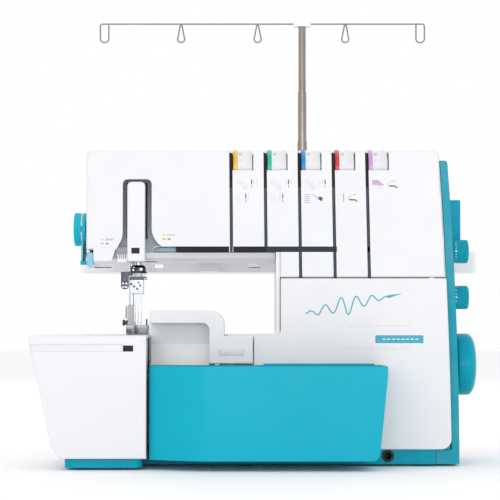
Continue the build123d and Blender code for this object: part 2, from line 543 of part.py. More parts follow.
with BuildPart() as upper_knife:
    side_plate(
        [(FRONT + 34, 70), (FRONT + 34, 143), (FRONT + 46, 147.2), (FRONT + 46, 108), (FRONT + 44, 70)],
        [4, 0.5, 0.5, 6, 4], -118.2, -115.8,
    )
    rod_x(FRONT + 39, 76, 2.5, -119, -115, mode=Mode.SUBTRACT)
write(upper_knife, "upper_knife")


def looper(pivot_x, pivot_z, y, reach, rise, tip_drop):
    """A looper: a round hub on a Y axis with a curved arm that rises and points left, in the open part."""
    rod_y(pivot_x, pivot_z, 7, y - 3, y + 3)
    with BuildSketch(Plane.XZ.offset(-(y + 1.5))) as arm:
        with BuildLine():
            FilletPolyline(
                (pivot_x - 4, pivot_z), (pivot_x - 6, pivot_z + rise), (pivot_x - reach, pivot_z + rise - tip_drop),
                (pivot_x - reach, pivot_z + rise - tip_drop + 1.6), (pivot_x + 2, pivot_z + rise + 7),
                (pivot_x + 5, pivot_z), radius=[0, 5, 0.5, 0.5, 7, 0], close=True,
            )
        make_face()
    extrude(arm.sketch, amount=3)
    rod_y(pivot_x, pivot_z, 3, y - 4, y + 4, mode=Mode.SUBTRACT)


UPPER_LOOPER, LOWER_LOOPER = (-78.0, 86.0, FRONT + 34), (-64.0, 62.0, FRONT + 27)
with BuildPart() as upper_looper:
    looper(UPPER_LOOPER[0], UPPER_LOOPER[1], UPPER_LOOPER[2], 30, 24, 4)
write(upper_looper, "upper_looper")

with BuildPart() as lower_looper:
    looper(LOWER_LOOPER[0], LOWER_LOOPER[1], LOWER_LOOPER[2], 44, 30, 2)
write(lower_looper, "lower_looper")

with BuildPart() as looper_pins:
    for pivot_x, pivot_z, y in (UPPER_LOOPER, LOWER_LOOPER):
        rod_y(pivot_x, pivot_z, 2.95, y - 5, FRONT + 72)
    rod_x(FRONT + 39, 76, 2.45, -119, -84)
    block((-90, -84), (FRONT + 30, FRONT + 72), (72, 80))
write(looper_pins, "looper_pins")

with BuildPart() as needle_thread_guide:
    block((-148.5, -138.8), (FRONT + 3.4, FRONT + 5.2), (203.8, 212.2))
    block((-147.0, -140.0), (FRONT + 5.2, FRONT + 8.4), (204.4, 207.4))
    for i in range(4):
        block((-147.2 + 2.1 * i, -146.3 + 2.1 * i), (FRONT + 2, FRONT + 6), (207.6, 213), mode=Mode.SUBTRACT)
write(needle_thread_guide, "needle_thread_guide")

with BuildPart() as thread_cutter:
    rod_x(*PRESSURE_KNOB, 17, -186.0, -182.7)
    fillet(thread_cutter.edges().filter_by(GeomType.CIRCLE), radius=0.6)
    rod_x(*PRESSURE_KNOB, 9, -183, ARM_LEFT)
    side_plate([(FRONT + 14, 203), (FRONT + 14, 221.6), (FRONT + 40, 224), (FRONT + 40, 212), (FRONT + 24, 203)],
               [1.5, 2, 0, 4, 3], -186.0, -182.7)
    block((-183, -174), (FRONT + 8.2, FRONT + 20), (201.6, 205.6))
    block((-186, -180), (FRONT + 15, FRONT + 20), (201.6, 205.6))
    front_plate([(-179.2, 213.3), (-172.5, 213.3), (-172.5, 202.4), (-176.0, 197.0), (-179.2, 202.0)],
                [0.5, 0.5, 1, 1, 1], FRONT + 2.6, FRONT + 8.4)
    rod_x(*PRESSURE_KNOB, 3.3, -190, -178, mode=Mode.SUBTRACT)
write(thread_cutter, "thread_cutter")

# ---------------------------------------------------------------- controls
for number, left in enumerate(DIAL_X, 1):
    with BuildPart() as tension_dial:
        rod_x(*DIAL_AXIS, DIAL_R, left, left + DIAL_WIDTH)
        fillet(tension_dial.edges().filter_by(GeomType.CIRCLE), radius=0.6)
        rod_x(*DIAL_AXIS, 3.1, left - 1, left + DIAL_WIDTH + 1, mode=Mode.SUBTRACT)
    write(tension_dial, f"tension_dial_{number}")

with BuildPart() as dial_axle:
    rod_x(*DIAL_AXIS, 3.0, -60, 150)
write(dial_axle, "dial_axle")


def knob(axis, x0, x1, radius, stem_x):
    """A turned control knob on an X axis with a rounded outer face and a stem, in the open part."""
    rod_x(*axis, radius, x0, x1)
    fillet(edges().filter_by(GeomType.CIRCLE), radius=1.4)
    rod_x(*axis, 3.0, min(x0, stem_x), max(x0, stem_x))


with BuildPart() as pressure_knob:
    rod_x(*PRESSURE_KNOB, 17, -194.8, -187.3)
    fillet(pressure_knob.edges().filter_by(GeomType.CIRCLE), radius=1.4)
    rod_x(*PRESSURE_KNOB, 16.2, -188, -186.2)
    rod_x(*PRESSURE_KNOB, 3.0, -187, -176.6)
write(pressure_knob, "pressure_knob")

with BuildPart() as differential_knob:
    knob(DIFFERENTIAL_KNOB, 191.5, 207.5, 12, 172)
write(differential_knob, "differential_knob")

with BuildPart() as length_knob:
    knob(LENGTH_KNOB, 191.5, 207.5, 12, 174)
write(length_knob, "length_knob")

with BuildPart() as threading_lever:
    side_plate(
        [(FRONT + 53, 218), (FRONT + 53, 270), (FRONT + 69, 270), (FRONT + 69, 218)], [6, 3, 3, 6], 190.8, 201.9,
    )
    fillet(threading_lever.faces().sort_by(Axis.X)[-1].edges(), radius=1.2)
    rod_x(*LEVER_PIVOT, 4.0, 172, 191)
write(threading_lever, "threading_lever")

with BuildPart() as power_switch:
    front_plate(
        [(184, SWITCH[1] - 8.5), (193.6, SWITCH[1] - 8.5), (192.2, SWITCH[1]), (194.2, SWITCH[1] + 8.5),
         (184, SWITCH[1] + 8.5)],
        [0, 1, 0, 1, 0], SWITCH[0] - 5.6, SWITCH[0] + 5.6,
    )
    rod_y(185.2, SWITCH[1], 0.9, SWITCH[0] - 6, SWITCH[0] + 6, mode=Mode.SUBTRACT)
write(power_switch, "power_switch")

with BuildPart() as power_socket:
    block((178, 192.4), (SOCKET[0] - 12.8, SOCKET[0] + 12.8), (SOCKET[1] - 8.8, SOCKET[1] + 8.8))
    block((182, 193), (SOCKET[0] - 10, SOCKET[0] + 10), (SOCKET[1] - 6, SOCKET[1] + 6), mode=Mode.SUBTRACT)
    for pin_y in (-4, 4):
        rod_x(SOCKET[0] + pin_y, SOCKET[1], 1.2, 181, 190)
write(power_socket, "power_socket")

with BuildPart() as knee_lift_socket:
    rod_y(*KNEE_SOCKET, 6.0, FRONT + 0.4, FRONT + 5)
    rod_y(*KNEE_SOCKET, 4.8, FRONT + 5, FRONT + 20)
    rod_y(*KNEE_SOCKET, KNEE_BORE_R, FRONT, FRONT + 17, mode=Mode.SUBTRACT)
write(knee_lift_socket, "knee_lift_socket")

# ---------------------------------------------------------------- spool stand and thread mast
with BuildPart() as spool_tray:
    with BuildSketch(Plane.XY.offset(TRAY[4])):
        with Locations(((TRAY[0] + TRAY[1]) / 2, (TRAY[2] + TRAY[3]) / 2)):
            RectangleRounded(TRAY[1] - TRAY[0], TRAY[3] - TRAY[2], 6)
    extrude(amount=TRAY[5] - TRAY[4])
    offset(amount=-2.5, openings=spool_tray.faces().sort_by(Axis.Z)[-1])
    for window in TRAY_WINDOWS:
        block(window, (TRAY[2] - 1, TRAY[3] + 1), (202.5, 208.5), mode=Mode.SUBTRACT)
    for bracket in ((-70, -50), (110, 130)):
        block(bracket, (FRONT + DEPTH, TRAY[2] + 1), (TRAY[4], 216.5))
        block(bracket, (FRONT + DEPTH, FRONT + DEPTH + 4), (TRAY[4], 252))
    for spool_x in SPOOL_X:
        rod_z(spool_x, SPOOL_Y, 6, 200, 204)
    rod_z(*MAST, 9, 200, 214)
    rod_z(*MAST, MAST_RADII[0][0], MAST_LEVELS[0], 215, mode=Mode.SUBTRACT)
write(spool_tray, "spool_tray")

with BuildPart() as spool_pins:
    for spool_x in SPOOL_X:
        rod_z(spool_x, SPOOL_Y, SPOOL_ROOT_R, 204, 230)
        rod_z(spool_x, SPOOL_Y, SPOOL_R, 230, 300)
write(spool_pins, "spool_pins")

with BuildPart() as cone_holders:
    for spool_x in SPOOL_X:
        rod_z(spool_x, SPOOL_Y, 19, 204, 206.5)
        with Locations((spool_x, SPOOL_Y, 216.5)):
            Cone(11, 7, 20)
        rod_z(spool_x, SPOOL_Y, SPOOL_ROOT_R, 203, 230, mode=Mode.SUBTRACT)
write(cone_holders, "cone_holders")

with BuildPart() as mast_lower_tube:
    rod_z(*MAST, MAST_RADII[0][0], MAST_LEVELS[0], MAST_LEVELS[1])
    rod_z(*MAST, MAST_RADII[0][1], MAST_LEVELS[0] + 1, MAST_LEVELS[1] + 1, mode=Mode.SUBTRACT)
write(mast_lower_tube, "mast_lower_tube")

with BuildPart() as mast_middle_tube:
    rod_z(*MAST, MAST_RADII[1][0], MAST_LEVELS[2] - MAST_TUBE, MAST_LEVELS[2])
    rod_z(*MAST, MAST_RADII[1][1], 200, 420, mode=Mode.SUBTRACT)
write(mast_middle_tube, "mast_middle_tube")

with BuildPart() as mast_upper_rod:
    rod_z(*MAST, MAST_RADII[2][0], MAST_LEVELS[3] - MAST_TUBE, MAST_LEVELS[3])
write(mast_upper_rod, "mast_upper_rod")

with BuildPart() as guide_cap:
    with BuildSketch(Plane.XY.offset(MAST_LEVELS[3])):
        with Locations(MAST):
            RectangleRounded(19.4, 13, 5)
    extrude(amount=6.3)
    fillet(guide_cap.faces().sort_by(Axis.Z)[-1].edges(), radius=1.2)
    rod_x(MAST[1], WIRE_Z, WIRE_R, MAST[0] - 12, MAST[0] - 5, mode=Mode.SUBTRACT)
    rod_x(MAST[1], WIRE_Z, WIRE_R, MAST[0] + 5, MAST[0] + 12, mode=Mode.SUBTRACT)
write(guide_cap, "guide_cap")

EYELET_DROP, EYELET_HALF = 20.4, 4.6
END_LOOP = (9.4, 20.6)


def bent_wire(points, radii, close=False):
    """The guide wire bent through (X, Z) points in the mast's plane, in the open part."""
    with BuildLine(Plane.XZ.offset(-MAST[1])) as path:
        FilletPolyline(*points, radius=radii, close=close)
    with BuildSketch(Plane(origin=path.line @ 0, z_dir=path.line % 0)) as section:
        Circle(WIRE_R)
    sweep(section.sketch, path=path.line)


with BuildPart() as thread_guide_wire:
    for eye_x, side in ((SPOOL_X[0], -1), (SPOOL_X[4], 1)):
        outer, inner = eye_x + side * END_LOOP[0] / 2, eye_x - side * END_LOOP[0] / 2
        low = WIRE_Z - END_LOOP[1]
        bent_wire(
            [(MAST[0] + side * 5, WIRE_Z), (outer, WIRE_Z), (outer, low), (inner, low), (inner, WIRE_Z - 0.6)],
            [2.5, 4.2, 4.2],
        )
    for eye_x in SPOOL_X[1:4]:
        low = WIRE_Z - EYELET_DROP
        bent_wire(
            [(eye_x - EYELET_HALF, low), (eye_x, WIRE_Z + 3.4), (eye_x + EYELET_HALF, low)], [3.4, 1.0, 3.4], True,
        )
write(thread_guide_wire, "thread_guide_wire")
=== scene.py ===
"""Looks of the serger overlock machine: finishes for the CAD nodes, and finer pieces that stand for some."""

import math

import bmesh
import bpy
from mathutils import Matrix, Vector


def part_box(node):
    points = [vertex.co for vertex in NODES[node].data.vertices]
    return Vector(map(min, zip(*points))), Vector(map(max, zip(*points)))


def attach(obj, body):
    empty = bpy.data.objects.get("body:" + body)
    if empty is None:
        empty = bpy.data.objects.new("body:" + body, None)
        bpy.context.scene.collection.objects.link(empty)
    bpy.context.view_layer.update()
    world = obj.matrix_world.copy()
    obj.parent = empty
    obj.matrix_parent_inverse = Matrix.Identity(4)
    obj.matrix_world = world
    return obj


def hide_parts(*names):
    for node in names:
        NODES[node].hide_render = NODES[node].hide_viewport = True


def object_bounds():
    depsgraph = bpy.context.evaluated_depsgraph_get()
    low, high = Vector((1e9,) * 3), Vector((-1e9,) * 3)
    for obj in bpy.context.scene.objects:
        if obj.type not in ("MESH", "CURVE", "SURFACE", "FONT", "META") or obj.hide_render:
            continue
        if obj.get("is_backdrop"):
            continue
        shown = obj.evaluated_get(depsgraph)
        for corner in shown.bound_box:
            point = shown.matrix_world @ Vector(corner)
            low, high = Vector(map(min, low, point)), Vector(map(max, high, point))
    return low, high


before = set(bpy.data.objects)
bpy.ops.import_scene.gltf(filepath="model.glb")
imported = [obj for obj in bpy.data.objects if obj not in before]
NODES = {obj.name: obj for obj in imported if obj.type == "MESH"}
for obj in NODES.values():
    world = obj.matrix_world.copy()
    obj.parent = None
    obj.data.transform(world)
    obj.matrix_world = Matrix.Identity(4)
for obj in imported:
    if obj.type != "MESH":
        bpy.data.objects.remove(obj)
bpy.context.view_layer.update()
MM = 0.001


def box_mm(node):
    """Lowest and highest corner of a CAD node in millimetres."""
    lo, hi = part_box(node)
    return [c / MM for c in lo], [c / MM for c in hi]


# ---------------------------------------------------------------- materials
def linear(hex_colour):
    """A linear RGBA tuple from an sRGB hex string."""
    out = []
    for i in (0, 2, 4):
        c = int(hex_colour[i : i + 2], 16) / 255
        out.append(c / 12.92 if c <= 0.04045 else ((c + 0.055) / 1.055) ** 2.4)
    return (*out, 1.0)


def scaled(colour, k):
    return (*[min(1.0, c * k) for c in colour[:3]], 1.0)


class Shader:
    """A Principled material with object-space noise, built one node at a time."""

    def __init__(self, name):
        self.material = bpy.data.materials.new(name)
        self.material.use_nodes = True
        self.tree = self.material.node_tree
        self.bsdf = next(n for n in self.tree.nodes if n.type == "BSDF_PRINCIPLED")
        self.coords = self.tree.nodes.new("ShaderNodeTexCoord").outputs["Object"]

    def node(self, kind, **inputs):
        n = self.tree.nodes.new(kind)
        for key, value in inputs.items():
            key = key.replace("_", " ")
            if isinstance(value, bpy.types.NodeSocket):
                self.tree.links.new(value, n.inputs[key])
            else:
                n.inputs[key].default_value = value
        return n

    def link(self, socket, key):
        self.tree.links.new(socket, self.bsdf.inputs[key])

    def set(self, **values):
        for key, value in values.items():
            self.bsdf.inputs[key.replace("_", " ")].default_value = value

    def noise(self, scale, detail=4.0, stretch=None):
        vector = self.coords
        if stretch:
            mapping = self.node("ShaderNodeMapping", Vector=vector)
            mapping.inputs["Scale"].default_value = stretch
            vector = mapping.outputs["Vector"]
        return self.node("ShaderNodeTexNoise", Vector=vector, Scale=scale, Detail=detail).outputs["Fac"]

    def span(self, socket, low, high, start=0.3, end=0.7):
        n = self.node("ShaderNodeMapRange", Value=socket)
        n.inputs["From Min"].default_value = start
        n.inputs["From Max"].default_value = end
        n.inputs["To Min"].default_value = low
        n.inputs["To Max"].default_value = high
        return n.outputs["Result"]

    def mix(self, factor, a, b):
        n = self.tree.nodes.new("ShaderNodeMix")
        n.data_type = "RGBA"
        self.tree.links.new(factor, n.inputs["Factor"])
        for key, value in ((6, a), (7, b)):
            if isinstance(value, bpy.types.NodeSocket):
                self.tree.links.new(value, n.inputs[key])
            else:
                n.inputs[key].default_value = value
        return n.outputs[2]

    def edges(self, radius_mm):
        """(rounded normal, 0..1 mask that is bright on sharp edges)."""
        rounded = self.node("ShaderNodeBevel", Radius=radius_mm * MM)
        rounded.samples = 6
        flat = self.node("ShaderNodeNewGeometry").outputs["Normal"]
        dot = self.tree.nodes.new("ShaderNodeVectorMath")
        dot.operation = "DOT_PRODUCT"
        self.tree.links.new(rounded.outputs["Normal"], dot.inputs[0])
        self.tree.links.new(flat, dot.inputs[1])
        mask = self.span(dot.outputs["Value"], 1.0, 0.0, 0.8, 0.995)
        return rounded.outputs["Normal"], mask

    def bump(self, height, strength, distance_mm, normal=None):
        n = self.node("ShaderNodeBump", Height=height, Strength=strength, Distance=distance_mm * MM)
        if normal is not None:
            self.tree.links.new(normal, n.inputs["Normal"])
        self.link(n.outputs["Normal"], "Normal")


SCUFF = 0.10  # how much rougher the handled patches are


def plastic(name, colour, rough=0.3, coat=0.25, grain=0.12, edge_mm=0.5, tint=0.93, edge_highlight=1.06, shine=0.5):
    """Moulded plastic: fine spark-eroded grain, slow colour drift, handled patches and a painted highlight
    that lightens sharp edges.
    """
    s = Shader(name)
    base = linear(colour)
    drift = s.noise(9.0, 3.0)
    normal, edge = s.edges(edge_mm)
    body = s.mix(s.span(drift, 0.0, 1.0, 0.35, 0.65), base, scaled(base, tint))
    # painted highlight: the colour is lifted on sharp edges to stand in for light catching them
    edge_highlight_tone = s.mix(s.span(edge, 0.0, 0.55, 0.1, 1.0), body, scaled(base, edge_highlight))
    s.link(edge_highlight_tone, "Base Color")
    smudge = s.noise(38.0, 6.0)
    s.link(s.span(smudge, rough - 0.04, rough + SCUFF, 0.35, 0.7), "Roughness")
    s.set(Coat_Weight=coat, Coat_Roughness=0.12, IOR=1.5, Specular_IOR_Level=shine)
    s.bump(s.noise(1900.0, 2.0), grain, 0.05, normal)
    return s.material


def metal(name, colour, rough=0.25, brushed=None, edge_mm=0.3, strength=0.12):
    """Metal with a ground or drawn grain, slight colour drift and a painted highlight that brightens its
    edges.
    """
    s = Shader(name)
    base = linear(colour)
    normal, edge = s.edges(edge_mm)
    drift = s.noise(45.0, 4.0)
    body = s.mix(s.span(drift, 0.0, 1.0), base, scaled(base, 0.82))
    # painted highlight: the colour is brightened on sharp edges
    s.link(s.mix(s.span(edge, 0.0, 0.7, 0.1, 1.0), body, scaled(base, 1.25)), "Base Color")
    grain = s.noise(900.0, 3.0, brushed or (1.0, 1.0, 1.0))
    s.link(s.span(grain, rough * 0.75, rough * 1.35), "Roughness")
    s.set(Metallic=1.0)
    s.bump(grain, strength, 0.02, normal)
    return s.material


def rubber(name, colour):
    s = Shader(name)
    base = linear(colour)
    normal = s.edges(0.4)[0]
    dust = s.noise(70.0, 5.0)
    s.link(s.mix(s.span(dust, 0.0, 0.6, 0.45, 0.75), base, linear("4b4a48")), "Base Color")
    s.link(s.span(dust, 0.62, 0.85), "Roughness")
    s.bump(s.noise(700.0, 3.0), 0.3, 0.08, normal)
    return s.material


WHITE = plastic("white_shell", "dddde0", rough=0.36, coat=0.12, tint=0.985, edge_highlight=1.04)
# painted light: a lighter copy of the white plastic, to brighten the spool tray and chute floor where they
# lie in shade; the guide cap and cone holders share it
WHITE_LIFTED = plastic("white_lifted_tray", "ececed", rough=0.42, coat=0.05, tint=0.975, edge_highlight=1.03)
TEAL_BASE = plastic("teal_base", "009ab0", rough=0.34, coat=0.0, tint=0.9, edge_highlight=1.25, edge_mm=0.7, shine=0.12)
TEAL_BIN = plastic("teal_bin", "02a6bd", rough=0.3, coat=0.03, tint=0.96, edge_highlight=1.25, edge_mm=0.6, shine=0.15)
TEAL_LEVER = plastic("teal_lever", "00a1bf", rough=0.3, coat=0.0, tint=0.95, edge_highlight=1.2, edge_mm=0.5,
                     shine=0.12)
TEAL_KNOB = plastic("teal_knob", "009bb2", rough=0.3, coat=0.02, tint=0.93, edge_highlight=1.3, edge_mm=0.4, shine=0.12)
TEAL_LIGHT_KNOB = plastic("teal_light_knob", "0cb4cc", rough=0.32, coat=0.03, tint=0.93, edge_highlight=1.25,
                          edge_mm=0.4, shine=0.2)
TEAL_PALE = plastic("teal_pale", "4fc3d3", rough=0.3, coat=0.1, tint=0.95, edge_highlight=1.15, shine=0.3)
TEAL_LEAF = plastic("teal_leaf", "7cc0d6", rough=0.3, coat=0.1, tint=0.95, edge_highlight=1.15, shine=0.3)
DEEP_TEAL = plastic("deep_teal", "074a60", rough=0.4, coat=0.05, tint=0.9, edge_highlight=1.3, shine=0.2)
NAVY = plastic("thread_channel", "50566a", rough=0.45, coat=0.0, tint=0.9, edge_highlight=1.3, shine=0.25)
CHANNEL = plastic("channel_floor", "2c313b", rough=0.45, coat=0.0, tint=0.9, edge_highlight=1.5, shine=0.25)
BLACK = plastic("black_plastic", "17181b", rough=0.45, coat=0.0, tint=0.8, edge_highlight=1.9, shine=0.3)
# painted shade: near-black for the insides of slots, grooves and gaps, which are dark from shade
SLOT_SHADE_BLACK = plastic("painted_slot_shade", "08080a", rough=0.4, coat=0.0, tint=0.8, edge_highlight=1.6, shine=0.25)
LIGHT_CAST = plastic("painted_cast", "c4c6cc", rough=0.38, coat=0.1, grain=0.3, tint=0.93, edge_highlight=1.12,
                     edge_mm=0.3)
RUBBER = rubber("rubber", "1d1d1e")
STEEL = metal("ground_steel", "b9bbbe", 0.28, (1.0, 12.0, 1.0))
STEEL_X = metal("turned_steel", "b4b6b9", 0.25, (0.6, 9.0, 9.0))
CHROME = metal("chrome", "d7d9dc", 0.12, None, strength=0.04)
SATIN = metal("satin_steel", "c9cbd0", 0.34, (3.0, 3.0, 1.0), strength=0.08)
DARK_STEEL = metal("black_oxide_steel", "55585e", 0.36, None)
CAST = metal("cast_aluminium", "9a9c9e", 0.5, None, strength=0.5)
NICKEL = metal("nickel_tube", "9c9088", 0.22, (6.0, 6.0, 0.4), strength=0.05)
WIRE = metal("wire_steel", "8d8a86", 0.25, (0.5, 6.0, 6.0), strength=0.04)
BRASS = metal("brass", "b08a3c", 0.3, None)
ENAMEL = plastic("motor_enamel", "26272b", rough=0.4, coat=0.3, grain=0.3)
RING_COLOURS = ("e5b52c", "17ae94", "1585c9", "cc2f36", "c79bcd")
RINGS = [plastic(f"ring_{i + 1}", c, rough=0.33, coat=0.25, tint=0.93, edge_highlight=1.12)
         for i, c in enumerate(RING_COLOURS)]


def ink(name, colour):
    """Screen-printed ink: flat, slightly uneven, a little rougher than the plastic under it."""
    s = Shader(name)
    base = linear(colour)
    patch = s.noise(600.0, 4.0)
    s.link(s.mix(s.span(patch, 0.0, 1.0), base, scaled(base, 0.86)), "Base Color")
    s.link(s.span(patch, 0.45, 0.6), "Roughness")
    s.bump(patch, 0.1, 0.01)
    return s.material


INK_GREY = ink("ink_grey", "b9bbc0")
INK_DARK = ink("ink_dark", "4c4f55")
INK_BLUE = ink("ink_blue", "5f8fc0")
INK_ORANGE = ink("ink_orange", "d08a62")
INK_YELLOW = ink("ink_yellow", "e2bb4a")
INK_TEAL = ink("ink_teal", "3aa7bb")
INK_LILAC = ink("ink_lilac", "c4a7cc")
INK_WHITE = ink("ink_white", "f2f4f5")

def height_shaded(name, low_colour, high_colour, low_mm, high_mm):
    """Moulded plastic with painted light and shade: its colour goes from one tone to another between two
    heights, with rounded edges.
    """
    s = Shader(name)
    s.set(Specular_IOR_Level=0.15)
    height = s.node("ShaderNodeSeparateXYZ", Vector=s.coords).outputs["Z"]
    light_share = s.span(height, 0.0, 1.0, low_mm * MM, high_mm * MM)
    normal = s.edges(0.4)[0]
    # painted light and shade: the base colour follows the height between the two tones
    body = s.mix(light_share, linear(low_colour), linear(high_colour))
    cloud = s.noise(24.0, 4.0)
    s.link(s.mix(s.span(cloud, 0.0, 0.06), body, linear("e8f2f4")), "Base Color")
    s.link(s.span(cloud, 0.42, 0.55), "Roughness")
    s.bump(s.noise(1700.0, 2.0), 0.15, 0.05, normal)
    return s.material


# painted shade: the inner plate gets darker towards the top of its recess
PLATE_SHADED = height_shaded("plate_painted_shade", "98a3ae", "7a7b80", 206.0, 280.0)
# painted light: the side panel turns lighter and paler towards the top
TEAL_LIT_PANEL = height_shaded("teal_panel_painted_light", "0090a4", "2494a8", 216.0, 312.0)

NODE_MATERIALS = {
    WHITE: (
        "rear_housing arm_front_cover take_up_cover arm_lower_casing lower_front_cover throat_trim "
        "looper_cover "
        "extension_table free_arm_casing needle_thread_guide"
    ),
    WHITE_LIFTED: "spool_tray guide_cap cone_holders",
    TEAL_LIT_PANEL: "side_panel",
    TEAL_BASE: "base_tray",
    TEAL_BIN: "waste_bin",
    TEAL_LEVER: "threading_lever",
    TEAL_KNOB: "thread_cutter",
    PLATE_SHADED: "head_inner_plate",
    NAVY: "thread_channel_liner",
    BLACK: "threader_lever table_release_button power_switch power_socket knee_lift_socket",
    RUBBER: "rubber_feet drive_belt",
    CAST: "main_frame",
    ENAMEL: "motor",
    STEEL: "feed_dogs needle_plate upper_looper lower_looper presser_lifter upper_knife",
    STEEL_X: "main_shaft motor_pulley looper_pins cover_hinge_pins dial_axle",
    DARK_STEEL: "clamp_screws",
    CHROME: "needle_bar presser_bar needles",
    SATIN: "needle_clamp",
    LIGHT_CAST: "presser_foot",
    NICKEL: "mast_lower_tube mast_middle_tube mast_upper_rod spool_pins",
    WIRE: "thread_guide_wire",
}
for material, names in NODE_MATERIALS.items():
    for node_name in names.split():
        mesh = NODES[node_name].data
        mesh.materials.clear()
        mesh.materials.append(material)


# ---------------------------------------------------------------- mesh helpers (millimetres in, metres out)
def piece(name, verts, faces, material, body, smooth=True):
    """A new mesh piece that rides on a body."""
    mesh = bpy.data.meshes.new(name)
    mesh.from_pydata([[c * MM for c in v] for v in verts], [], faces)
    mesh.materials.append(material)
    work = bmesh.new()
    work.from_mesh(mesh)
    bmesh.ops.recalc_face_normals(work, faces=work.faces)
    work.to_mesh(mesh)
    work.free()
    if smooth:
        mesh.polygons.foreach_set("use_smooth", [True] * len(mesh.polygons))
        mesh.set_sharp_from_angle(angle=math.radians(32))
    obj = bpy.data.objects.new(name, mesh)
    bpy.context.scene.collection.objects.link(obj)
    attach(obj, body)
    return obj


def rounded(points, radii, steps=8):
    """A closed outline through points with each corner rounded by its radius."""
    out = []
    count = len(points)
    for i, (px, py) in enumerate(points):
        radius = radii[i] if isinstance(radii, (list, tuple)) else radii
        ax, ay = points[i - 1]
        bx, by = points[(i + 1) % count]
        ua = Vector((ax - px, ay - py)).normalized()
        ub = Vector((bx - px, by - py)).normalized()
        angle = ua.angle(ub)
        if radius < 1e-4 or angle > math.pi - 1e-3:
            out.append((px, py))
            continue
        reach = radius / math.tan(angle / 2)
        centre = Vector((px, py)) + (ua + ub).normalized() * (radius / math.sin(angle / 2))
        start = Vector((px, py)) + ua * reach
        end = Vector((px, py)) + ub * reach
        a0 = math.atan2(start.y - centre.y, start.x - centre.x)
        a1 = math.atan2(end.y - centre.y, end.x - centre.x)
        turn = (a1 - a0 + math.pi) % (2 * math.pi) - math.pi
        for k in range(steps + 1):
            a = a0 + turn * k / steps
            out.append((centre.x + radius * math.cos(a), centre.y + radius * math.sin(a)))
    return out


def inset(outline, distance):
    """The outline moved inwards by distance, mitred at its corners."""
    area = sum(a[0] * b[1] - b[0] * a[1] for a, b in zip(outline, outline[1:] + outline[:1]))
    side = 1 if area > 0 else -1
    out = []
    for i, p in enumerate(outline):
        a = Vector(outline[i - 1])
        b = Vector(outline[(i + 1) % len(outline)])
        v = Vector(p)
        d1 = (v - a).normalized()
        d2 = (b - v).normalized()
        n1, n2 = Vector((-d1.y, d1.x)), Vector((-d2.y, d2.x))
        n = (n1 + n2).normalized() if (n1 + n2).length > 1e-6 else n1
        k = distance / max(0.5, n.dot(n1))
        out.append((v.x + n.x * k * side, v.y + n.y * k * side))
    return out


def slab(name, outline, depth0, depth1, material, body, plane="xz", near=0.8, far=0.0, steps=4):
    """A plate with a closed outline from depth0 to depth1 and rounded rims of radius near and far."""
    sign = 1 if depth1 > depth0 else -1
    turns = [math.pi / 2 * k / steps for k in range(steps + 1)]
    levels = [(depth0, 0.0)]
    if near:
        levels = [(depth0 + sign * near * (1 - math.cos(a)), near * (1 - math.sin(a))) for a in turns]
    if far:
        levels += [(depth1 - sign * far * (1 - math.sin(a)), far * (1 - math.cos(a))) for a in turns]
    else:
        levels.append((depth1, 0.0))
    verts = []
    for depth, shrink in levels:
        for u, v in inset(outline, shrink) if shrink > 1e-6 else outline:
            verts.append({"xz": (u, depth, v), "yz": (depth, u, v), "xy": (u, v, depth)}[plane])
    n = len(outline)
    faces = [list(range(n)), list(range((len(levels) - 1) * n, len(levels) * n))]
    for i in range(len(levels) - 1):
        for k in range(n):
            faces.append([i * n + k, i * n + (k + 1) % n, (i + 1) * n + (k + 1) % n, (i + 1) * n + k])
    return piece(name, verts, faces, material, body)


def lathe(name, centre, profile, material, body, steps=96, ribs=None, axis="x"):
    """A body of revolution about X or Z. profile is (station, radius); ribs is (count, depth, from, to)."""
    c1, c2 = centre
    verts, faces = [], []
    for x, r in profile:
        for k in range(steps):
            a = 2 * math.pi * k / steps
            depth = 0.0
            if ribs and ribs[2] <= x <= ribs[3]:
                depth = ribs[1] * (0.5 + 0.5 * math.cos(a * ribs[0])) ** 2
            u, v = c1 + (r - depth) * math.cos(a), c2 + (r - depth) * math.sin(a)
            verts.append((x, u, v) if axis == "x" else (u, v, x))
    for i in range(len(profile) - 1):
        for k in range(steps):
            j = (k + 1) % steps
            faces.append([i * steps + k, i * steps + j, (i + 1) * steps + j, (i + 1) * steps + k])
    for ring in (0, len(profile) - 1):
        faces.append([ring * steps + k for k in range(steps)])
    return piece(name, verts, faces, material, body)


def arc_profile(x_rim, r_rim, x_face, r_face, steps=10):
    """Profile points on a quarter ellipse from the rim (x_rim, r_rim) to the face (x_face, r_face)."""
    return [
        (x_rim + (x_face - x_rim) * math.sin(math.pi / 2 * k / steps),
         r_face + (r_rim - r_face) * math.cos(math.pi / 2 * k / steps))
        for k in range(steps + 1)
    ]


def brick(name, x, y, z, material, body, bevel=0.15):
    """A small box with rounded edges."""
    outline = rounded([(x[0], z[0]), (x[1], z[0]), (x[1], z[1]), (x[0], z[1])], bevel * 1.2, 2)
    return slab(name, outline, y[0], y[1], material, body, near=bevel, far=bevel, steps=2)


def tube(name, points, radius, material, body, steps=8):
    """A round bar along a list of points."""
    verts, faces = [], []
    pts = [Vector(p) for p in points]
    up = Vector((0, 1, 0))
    for i, p in enumerate(pts):
        d = (pts[min(i + 1, len(pts) - 1)] - pts[max(i - 1, 0)]).normalized()
        side = d.cross(up)
        side = side.normalized() if side.length > 1e-4 else Vector((1, 0, 0))
        other = d.cross(side).normalized()
        for k in range(steps):
            a = 2 * math.pi * k / steps
            verts.append(p + side * radius * math.cos(a) + other * radius * math.sin(a))
    for i in range(len(pts) - 1):
        for k in range(steps):
            j = (k + 1) % steps
            faces.append([i * steps + k, i * steps + j, (i + 1) * steps + j, (i + 1) * steps + k])
    faces.append(list(range(steps)))
    faces.append(list(range((len(pts) - 1) * steps, len(pts) * steps)))
    return piece(name, verts, faces, material, body)


